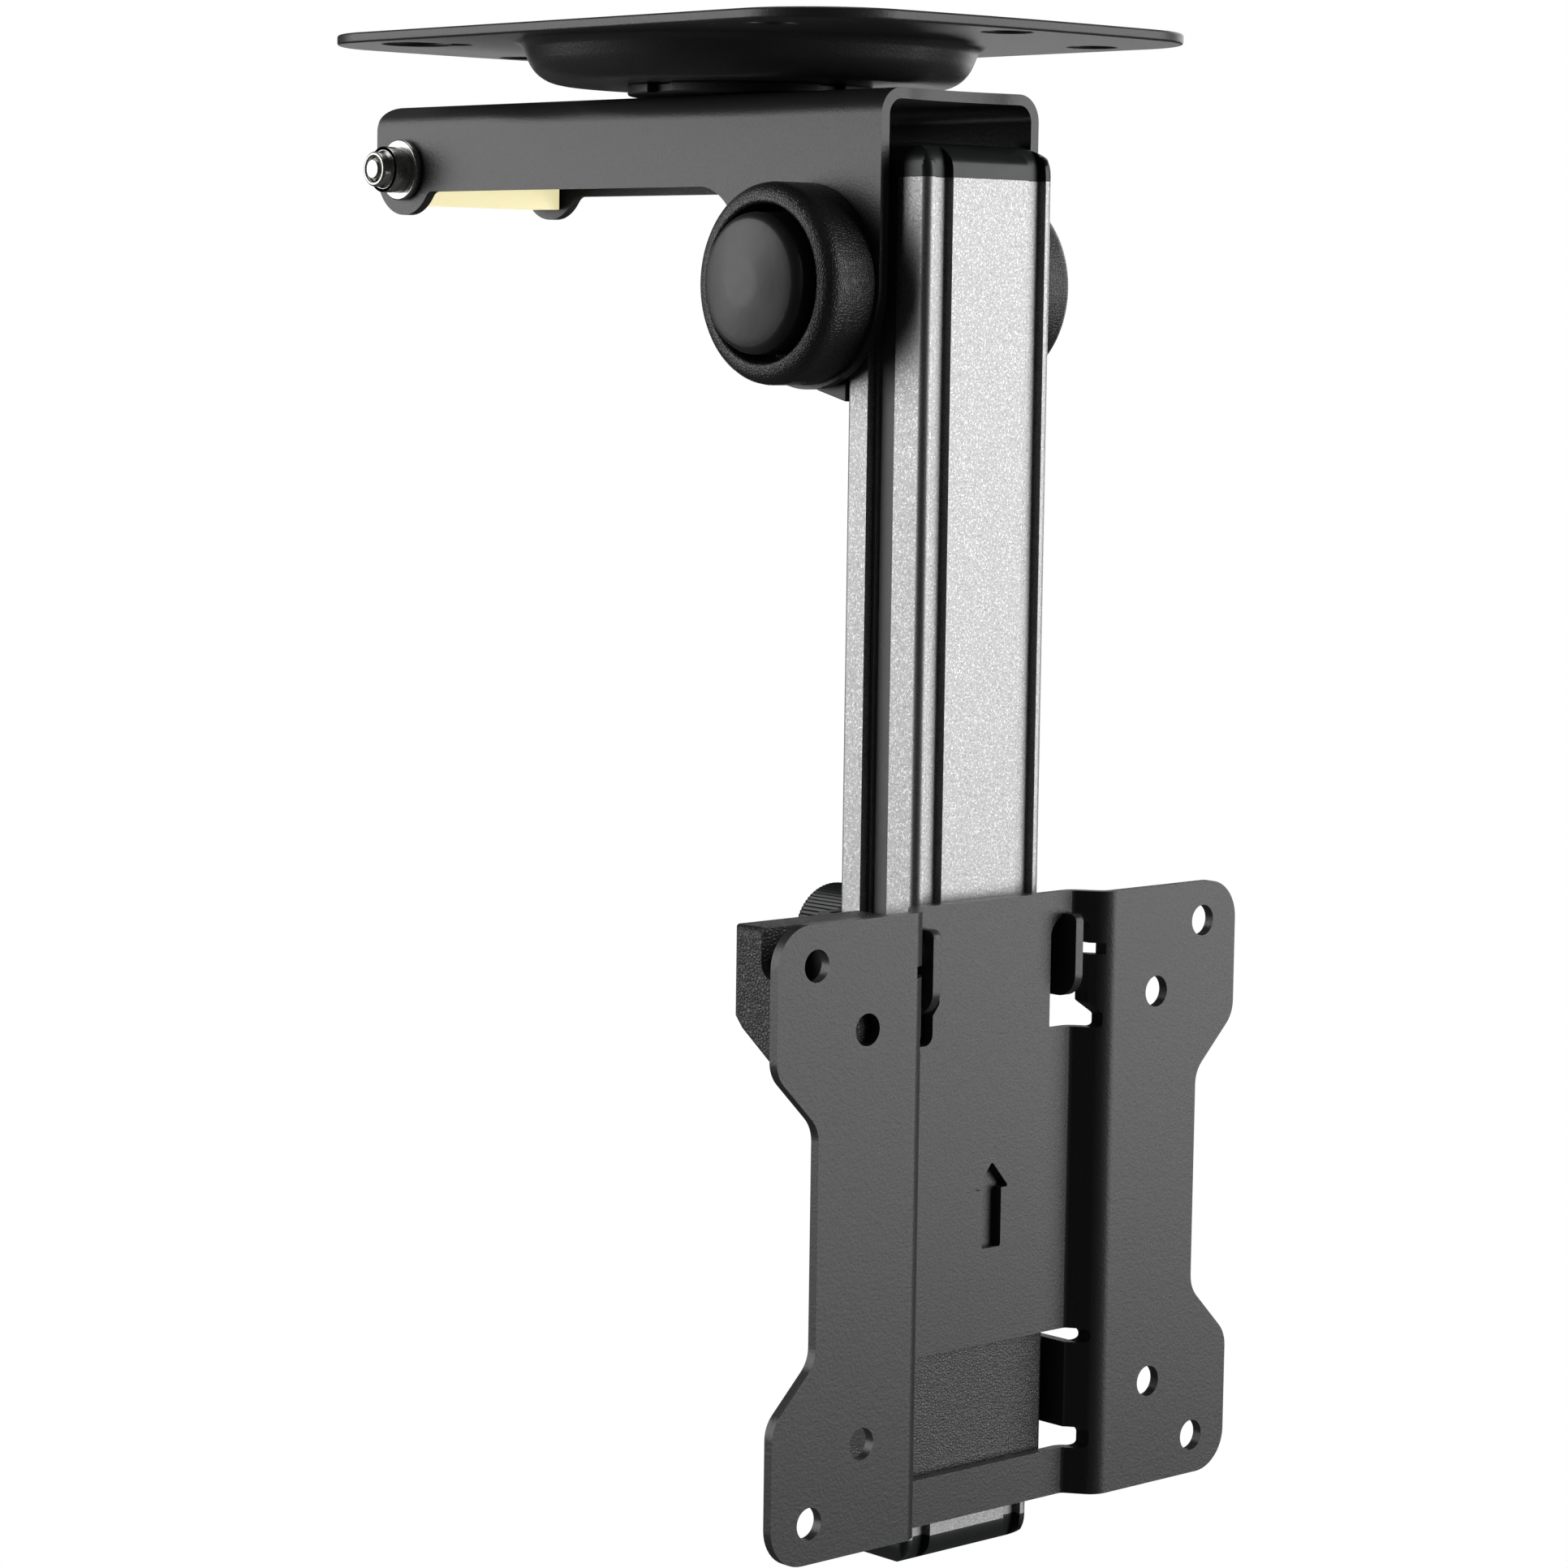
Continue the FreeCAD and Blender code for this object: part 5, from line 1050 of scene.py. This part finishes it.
@dataclass
class StopBolt:
    """The bolt across the channel's far end with washers, lock nut and bumper pad."""

    shank_radius: float = 0.0025
    thread_pitch: float = 0.0008
    thread_depth: float = 0.00035
    thread_length: float = 0.0155
    thread_turns: int = 17
    thread_start: float = 0.0006
    thread_play: float = 0.00003
    tip_length: float = 0.0005
    head_height: float = 0.0035
    nut_chamfer: float = 0.0003
    nut_extra: float = 0.0012
    collar: float = 0.0024
    washer_sheet: float = 0.0016
    tip_round: float = 0.0004
    rim_round: float = 0.0004
    collar_round: float = 0.0011
    bore_play: float = 0.0001
    pad_round: float = 0.0007

    def build(self) -> None:
        """Builds and dresses the bolt and all that is on it."""
        self.bolt()
        self.nut()
        self.washers()
        refine("bumper_pad", Body.CHANNEL, Slot.PAD, PALE_NYLON, self.pad_round, segments=3)

    def bolt(self) -> None:
        """Builds the shank with its thread and its hexagonal head."""
        box = NodeBox.of("stop_bolt")
        length = box.size().x - self.head_height
        core = self.shank_radius - self.thread_depth
        piece = Workpiece("stop_bolt_dressed")
        piece.lathe([Corner(0.0, 0.0), Corner(core - self.tip_round, 0.0), Corner(core, self.tip_length),
                     Corner(core, self.thread_length), Corner(self.shank_radius, self.thread_length),
                     Corner(self.shank_radius, length), Corner(0.0, length)], steps=48)
        piece.thread(self.shank_radius - self.thread_play, self.thread_pitch, self.thread_turns,
                     self.thread_start)
        piece.hexagon(min(box.size().y, box.size().z), self.head_height, self.nut_chamfer, length)
        piece.place(Axis.X, box.foot(Axis.X))
        piece.finish(Body.CHANNEL, Slot.ZINC, ZINC, ["stop_bolt"])

    def nut(self) -> None:
        """Builds the lock nut, its collar on the outer side."""
        box = NodeBox.of("stop_nut")
        size = box.size()
        flats = min(size.y, size.z)
        bore = self.shank_radius + self.bore_play
        outer = flats * 0.44
        piece = Workpiece("stop_nut_dressed")
        piece.hexagon(flats, size.x + self.nut_extra - self.collar, self.nut_chamfer, self.collar)
        piece.lathe([Corner(bore, 0.0, self.rim_round), Corner(outer, 0.0, self.collar_round),
                     Corner(outer, self.collar * 0.8, self.rim_round), Corner(flats * 0.5, self.collar * 1.1),
                     Corner(bore, self.collar * 1.1)], steps=64, closed=True)
        piece.place(Axis.X, box.foot(Axis.X) - Vector((self.nut_extra, 0.0, 0.0)))
        piece.finish(Body.CHANNEL, Slot.ZINC, ZINC, ["stop_nut"])

    def washers(self) -> None:
        """Builds the two flat washers with rounded rims."""
        box = NodeBox.of("stop_washers")
        outer = box.size().y / 2
        bore = self.shank_radius + self.bore_play
        piece = Workpiece("stop_washers_dressed")
        for start in (0.0, box.size().x - self.washer_sheet):
            end = start + self.washer_sheet
            piece.lathe([Corner(bore, start), Corner(outer, start, self.rim_round),
                         Corner(outer, end, self.rim_round), Corner(bore, end)], steps=72, closed=True)
        piece.place(Axis.X, box.foot(Axis.X))
        piece.finish(Body.CHANNEL, Slot.ZINC, ZINC, ["stop_washers"])


@dataclass
class Pivot:
    """The tilt pivot: covers and domed caps outside, bolt, nut and washers inside.

    The crown gives rings of the cap's dome: share of the radius, share of the dome's fall, and rounding.
    """

    cover_bore: float = 0.0145
    cover_floor: float = 0.002
    bolt_hole: float = 0.00405
    cover_round: float = 0.0031
    lip_round: float = 0.0007
    foot_round: float = 0.0003
    cap_dome: float = 0.0022
    cap_wall: float = 0.0012
    cap_round: float = 0.0016
    cap_proud: float = 0.0024
    crown: tuple[tuple[float, float, float], ...] = ((0.62, 0.36, 0.004), (0.3, 0.06, 0.003))

    def build(self) -> None:
        """Builds and dresses both sides of the pivot."""
        for side in ("right", "left"):
            self.cover(side)
            self.cap(side)
        for node in ("pivot_bolt", "pivot_nut", "pivot_washers"):
            dress_node(node, ZINC)

    def cover(self, side: str) -> None:
        """Builds the round cover of one side, with its heavily rounded rim.

        Args:
            side: "right" or "left".
        """
        box = NodeBox.of(f"{side}_pivot_cover")
        outer = box.size().y / 2
        length = box.size().x
        piece = Workpiece(f"{side}_pivot_cover_dressed")
        piece.lathe([Corner(self.bolt_hole, 0.0), Corner(outer, 0.0, self.foot_round),
                     Corner(outer, length, self.cover_round), Corner(self.cover_bore, length, self.lip_round),
                     Corner(self.cover_bore, self.cover_floor), Corner(self.bolt_hole, self.cover_floor)],
                    steps=128, closed=True)
        self.stand(piece, box, side)
        piece.finish(Body.CHANNEL, Slot.SMOOTH, COVER_BLACK, [f"{side}_pivot_cover"])

    def cap(self, side: str) -> None:
        """Builds the domed cap of one side, with its skirt.

        Args:
            side: "right" or "left".
        """
        box = NodeBox.of(f"{side}_pivot_cap")
        outer = box.size().y / 2
        length = box.size().x + self.cap_proud
        inner = outer - self.cap_wall
        edge = length - self.cap_dome
        piece = Workpiece(f"{side}_pivot_cap_dressed")
        dome = [Corner(outer * reach, length - self.cap_dome * fall, bend)
                for reach, fall, bend in self.crown]
        piece.lathe([Corner(inner, 0.0), Corner(outer, 0.0), Corner(outer, edge, self.cap_round),
                     *dome, Corner(0.0, length)], steps=128)
        piece.lathe([Corner(inner, 0.0), Corner(inner, edge - self.cap_wall),
                     Corner(0.0, length - self.cap_wall)], steps=128)
        self.stand(piece, box, side)
        piece.finish(Body.CHANNEL, Slot.SMOOTH, CAP_BLACK, [f"{side}_pivot_cap"])

    @staticmethod
    def stand(piece: Workpiece, box: NodeBox, side: str) -> None:
        """Stands a turned piece on one side of the channel.

        Args:
            piece: Turned piece with its foot at local 0.
            box: Box of its CAD node.
            side: "right" or "left".
        """
        spot = box.middle()
        spot.x = box.low.x if side == "right" else box.high.x
        piece.place(Axis.X, spot, flip=side == "left")


@dataclass
class Arm:
    """The aluminium arm with its end caps, slot strips and hinge block."""

    extrusion_round: float = 0.00025
    ridge_round: float = 0.0004
    shoulder: float = 0.0052
    shoulder_steps: int = 9

    def build(self) -> None:
        """Builds and dresses the arm."""
        refine("arm_extrusion", Body.ARM, Slot.ALUMINIUM, ALUMINIUM, self.extrusion_round)
        self.end_cap("top_cap", 1.0)
        self.end_cap("bottom_cap", -1.0)
        # The slot strips take the lightened grey, as painted light for their shaded slots.
        for node, finish, width in (("right_slot_strip", STRIP_PAINTED_LIGHT_GREY, 0.0001),
                                    ("left_slot_strip", STRIP_PAINTED_LIGHT_GREY, 0.0001),
                                    ("hinge_block", SMOOTH_BLACK, 0.0004),
                                    ("hinge_friction_washers", SMOOTH_BLACK, 0.0001)):
            refine(node, Body.ARM, Slot.SMOOTH, finish, width)
        dress_node("hinge_screws", ZINC)

    def end_cap(self, node: str, way: float) -> None:
        """Builds an end cap whose front and back roll over to its end.

        Args:
            node: Name of the CAD node.
            way: 1 for the upper end, -1 for the lower one.
        """
        box = NodeBox.of(node)
        start = (box.high.z if way > 0 else box.low.z) - way * self.shoulder
        half = box.size().y / 2
        piece = Workpiece(node + "_dressed").copy_node(node)
        piece.round_edges(self.ridge_round, 2, test=self.upright)
        for step in range(self.shoulder_steps):
            height = start + way * self.shoulder * math.sin(math.pi / 2 * step / self.shoulder_steps)
            mesh = piece.mesh
            bmesh.ops.bisect_plane(mesh, geom=mesh.verts[:] + mesh.edges[:] + mesh.faces[:],
                                   plane_co=(0, 0, height), plane_no=(0, 0, 1))
        for vert in piece.mesh.verts:
            rise = min(1.0, way * (vert.co.z - start) / self.shoulder)
            if rise > 0.0:
                set_back = self.shoulder * (1.0 - math.sqrt(1.0 - rise * rise))
                vert.co.y = box.middle().y + (vert.co.y - box.middle().y) * (1.0 - set_back / half)
        piece.finish(Body.ARM, Slot.SMOOTH, SMOOTH_BLACK, [node])

    @staticmethod
    def upright(edge: bmesh.types.BMEdge) -> bool:
        """Tells whether an edge runs along the arm."""
        first, last = edge.verts
        return math.hypot(first.co.x - last.co.x, first.co.y - last.co.y) < MERGE_REACH


@dataclass
class Carriage:
    """The sleeve, its steel bracket, and the clamp behind the arm."""

    bracket_round: float = 0.00035
    knob_ribs: int = 72
    rib_depth: float = 0.02
    knob_bore: float = 0.0031
    knob_taper: float = 0.0026
    knob_round: float = 0.0022
    knob_dish: float = 0.0006
    knob_foot: float = 0.78
    dish_rim: float = 0.7
    dish_floor: float = 0.62
    rib_reach: float = 0.9
    foot_round: float = 0.0005
    taper_round: float = 0.0008
    dish_round: float = 0.0004

    def build(self) -> None:
        """Builds and dresses the carriage and the clamp."""
        refine("carriage_liner", Body.CARRIAGE, Slot.TEXTURED, LINER_BLACK, width=0.0003)
        refine("carriage_bracket", Body.CARRIAGE, Slot.POWDER, POWDER_BLACK, self.bracket_round)
        refine("clamp_nut", Body.CARRIAGE, Slot.ZINC, ZINC, width=0.0002)
        refine("clamp_screw", Body.KNOB, Slot.ZINC, ZINC, width=0.0001)
        self.knob()

    def knob(self) -> None:
        """Builds the ribbed knob."""
        box = NodeBox.of("clamp_knob")
        radius = max(box.size().x, box.size().z) / 2
        length = box.size().y
        piece = Workpiece("clamp_knob_dressed")
        dish = length - self.knob_dish
        piece.lathe([Corner(self.knob_bore, 0.0), Corner(radius * self.knob_foot, 0.0, self.foot_round),
                     Corner(radius, self.knob_taper, self.taper_round),
                     Corner(radius, length, self.knob_round),
                     Corner(radius * self.dish_rim, length, self.dish_round),
                     Corner(radius * self.dish_floor, dish, self.dish_round), Corner(0.0, dish)],
                    self.knob_ribs * 2)
        inside = radius * self.rib_reach
        rim = [vert for vert in piece.mesh.verts if math.hypot(vert.co.x, vert.co.y) > inside]
        step = FULL_TURN / (2 * self.knob_ribs)
        grooves = [vert for vert in rim if round(math.atan2(vert.co.y, vert.co.x) / step) % 2]
        shrink = 1.0 - self.rib_depth
        bmesh.ops.scale(piece.mesh, vec=(shrink, shrink, 1.0), verts=grooves)
        piece.place(Axis.Y, box.foot(Axis.Y))
        piece.finish(Body.KNOB, Slot.SMOOTH, SMOOTH_BLACK, ["clamp_knob"])


@dataclass
class Latch:
    """The grained housing on the carriage's left, with its slider and spring."""

    housing_round: float = 0.0009
    spring_left: float = 0.02

    def build(self) -> None:
        """Builds and dresses the latch."""
        refine("latch_housing", Body.CARRIAGE, Slot.TEXTURED, TEXTURED_BLACK, self.housing_round,
               segments=3)
        refine("latch_slider", Body.LATCH, Slot.SMOOTH, SMOOTH_BLACK, width=0.0003)
        self.spring()

    def spring(self) -> None:
        """Builds the spring as a dressed copy of its CAD node, with a mesh of its own."""
        box = NodeBox.of("latch_spring")
        made = refine("latch_spring", Body.CARRIAGE, Slot.ZINC, SPRING_STEEL, width=0.0)
        tuple(box.foot(Axis.X))
        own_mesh(made)


@dataclass
class ScreenPlate:
    """The folded plate that the screen is screwed to."""

    edge_round: float = 0.0008
    step_depth: float = 0.0055
    arrow_depth: float = 0.0008
    arrow_extra: float = 0.001
    arrow_reach: float = 0.01
    floor_reach: float = 0.0001

    def build(self) -> None:
        """Builds and dresses the plate."""
        refine("vesa_plate", Body.PLATE, Slot.POWDER, POWDER_BLACK, self.edge_round,
               segments=3, reshape=self.deepen_arrow)

    def deepen_arrow(self, piece: Workpiece) -> None:
        """Takes the pressed arrow's floor almost through the sheet, as its dark right side shows it.

        Args:
            piece: Copy of the CAD node, not yet rounded.
        """
        box = NodeBox.of("vesa_plate")
        middle = box.middle()
        floor = box.low.y + self.step_depth + self.arrow_depth
        for vert in piece.mesh.verts:
            inside = max(abs(vert.co.x - middle.x), abs(vert.co.z - middle.z)) < self.arrow_reach
            if inside and abs(vert.co.y - floor) < self.floor_reach:
                vert.co.y += self.arrow_extra


# Studio


@dataclass(frozen=True)
class Viewpoint:
    """The camera, at the photograph's own place and angle."""

    place: tuple[float, float, float] = (-0.5740, -0.6389, -0.0541)
    yaw: float = 42.49
    pitch: float = -5.97
    roll: float = 0.79
    focal_pixels: float = 5464.0
    image_pixels: float = 1932.0
    sensor: float = 36.0

    def build(self) -> None:
        """Creates the camera and makes it the scene's own."""
        yaw, pitch, roll = (math.radians(angle) for angle in (self.yaw, self.pitch, self.roll))
        ahead = Vector((math.sin(yaw) * math.cos(pitch), math.cos(yaw) * math.cos(pitch), math.sin(pitch)))
        right = Vector((math.cos(yaw), -math.sin(yaw), 0.0))
        above = right.cross(ahead)
        turned_right = math.cos(roll) * right + math.sin(roll) * above
        turned_up = -math.sin(roll) * right + math.cos(roll) * above
        frame = Matrix((turned_right, turned_up, -ahead)).transposed().to_4x4()
        frame.translation = Vector(self.place)
        data = bpy.data.cameras.new("photo_camera")
        data.sensor_width = self.sensor
        data.lens = self.focal_pixels / self.image_pixels * self.sensor
        data.clip_start = 0.01
        data.clip_end = 50.0
        made = new_object("photo_camera", data)
        made.matrix_world = frame
        bpy.context.scene.camera = made


@dataclass(frozen=True)
class SoftBox:
    """One large soft light that faces the object."""

    name: str
    place: tuple[float, float, float]
    target: tuple[float, float, float]
    width: float
    height: float
    power: float
    colour: Colour = (1.0, 1.0, 1.0)

    def build(self) -> None:
        """Creates the light."""
        data = bpy.data.lights.new(self.name, "AREA")
        data.shape = "RECTANGLE"
        data.size = self.width
        data.size_y = self.height
        data.energy = self.power
        data.color = self.colour
        made = new_object(self.name, data)
        made.location = self.place
        aim = Vector(self.target) - Vector(self.place)
        made.rotation_euler = aim.to_track_quat("-Z", "Y").to_euler()
        made.visible_camera = False


@dataclass
class Studio:
    """A pale floor that sweeps up behind the object, soft lights and an even surround."""

    near: float = -3.0
    floor_height: float = -1.1
    sweep_start: float = 2.2
    sweep_radius: float = 0.9
    wall_height: float = 3.2
    half_width: float = 5.0
    surround: float = 0.03

    def build(self) -> None:
        """Builds the whole studio."""
        self.backdrop()
        self.light_surround()
        middle = (0.0, -0.02, -0.1)
        for name, place, width, height, power in (("front_right", (1.09, -1.18, 0.1), 1.2, 1.5, 15.8),
                                                  ("back_left", (-1.09, 1.18, 0.14), 1.4, 1.4, 14.8),
                                                  ("back_glow", (1.0, 1.26, -0.15), 0.8, 0.6, 1.5),
                                                  ("right_back", (1.6, 0.45, 0.3), 1.0, 1.2, 7.0),
                                                  ("overhead", (0.15, 0.3, 1.6), 1.2, 1.2, 6.0)):
            SoftBox(name, place, middle, width, height, power).build()

    def backdrop(self) -> None:
        """Builds floor and wall as one swept sheet, turned to face the camera."""
        mesh = bmesh.new()
        first = mesh.verts.new((-self.half_width, self.near, self.floor_height))
        last = mesh.verts.new((self.half_width, self.near, self.floor_height))
        edge = mesh.edges.new((first, last))
        geometry = self.pull(mesh, [first, last, edge], (0.0, self.sweep_start - self.near, 0.0))
        centre = (0.0, self.sweep_start, self.floor_height + self.sweep_radius)
        turned = bmesh.ops.spin(mesh, geom=geometry, cent=centre, axis=(1, 0, 0), dvec=(0, 0, 0),
                                angle=math.pi / 2, steps=24, use_merge=False, use_duplicate=False)
        self.pull(mesh, turned["geom_last"], (0.0, 0.0, self.wall_height))
        turn = Matrix.Rotation(-math.radians(Viewpoint.yaw), 4, "Z")
        bmesh.ops.transform(mesh, matrix=turn, verts=mesh.verts[:])
        bmesh.ops.recalc_face_normals(mesh, faces=mesh.faces[:])
        data = bpy.data.meshes.new("backdrop")
        mesh.to_mesh(data)
        mesh.free()
        data.polygons.foreach_set("use_smooth", [True] * len(data.polygons))
        data.materials.append(self.paper())
        new_object("backdrop", data)

    @staticmethod
    def pull(mesh: bmesh.types.BMesh, geometry: Sequence[object], way: Sequence[float]) -> list:
        """Extrudes edges along a straight way.

        Args:
            mesh: Mesh to grow.
            geometry: Edges to extrude, with what else comes with them.
            way: Length and direction.

        Returns:
            The new edges and their ends.
        """
        edges = [item for item in geometry if isinstance(item, bmesh.types.BMEdge)]
        grown = bmesh.ops.extrude_edge_only(mesh, edges=edges)["geom"]
        ends = [item for item in grown if isinstance(item, bmesh.types.BMVert)]
        bmesh.ops.translate(mesh, verts=ends, vec=way)
        return [item for item in grown if not isinstance(item, bmesh.types.BMFace)]

    @staticmethod
    def paper() -> bpy.types.Material:
        """Builds the backdrop's paper.

        Returns:
            The paper, pale to the eye and dim as a light, as behind a lit booth.
        """
        made = bpy.data.materials.new("backdrop_paper")
        made.use_nodes = True
        graph = ShaderGraph(made.node_tree)
        dull = graph.add("ShaderNodeBsdfDiffuse")
        grain = OrangePeel().place(graph, {"Ripple Scale": 6.0, "Grain Scale": 60.0, "Grain Share": 0.2})
        graph.link(graph.blend_colours(grain.outputs["Grain"], (0.10, 0.10, 0.10), (0.14, 0.14, 0.14)),
                   dull.inputs["Color"])
        pale = graph.add("ShaderNodeEmission", {"Strength": 1.0})
        pale.inputs["Color"].default_value = (1.0, 1.0, 1.0, 1.0)
        graph.finish_seen(dull.outputs["BSDF"], pale.outputs["Emission"], "ShaderNodeOutputMaterial")
        return made

    def light_surround(self) -> None:
        """Fills the world with an even pale light and shows colours as they are."""
        world = bpy.data.worlds.new("studio")
        bpy.context.scene.world = world
        world.use_nodes = True
        graph = ShaderGraph(world.node_tree)
        glow = graph.add("ShaderNodeBackground", {"Strength": self.surround})
        pale = graph.add("ShaderNodeBackground", {"Strength": 1.0})
        for shade in (glow, pale):
            shade.inputs["Color"].default_value = (1.0, 1.0, 1.0, 1.0)
        graph.finish_seen(glow.outputs["Background"], pale.outputs["Background"], "ShaderNodeOutputWorld")
        bpy.context.scene.view_settings.view_transform = "Standard"


def main() -> None:
    """Builds every sub-assembly in order, then the studio and the camera."""
    logging.basicConfig(level=logging.INFO, format="%(name)s: %(message)s")
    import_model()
    for part in (CeilingPlate(), SwivelStack(), ChannelBracket(), StopBolt(), Pivot(), Arm(), Carriage(),
                 Latch(), ScreenPlate()):
        LOG.info("building %s", type(part).__name__)
        part.build()
    Studio().build()
    Viewpoint().build()


if __name__ == "__main__":
    main()
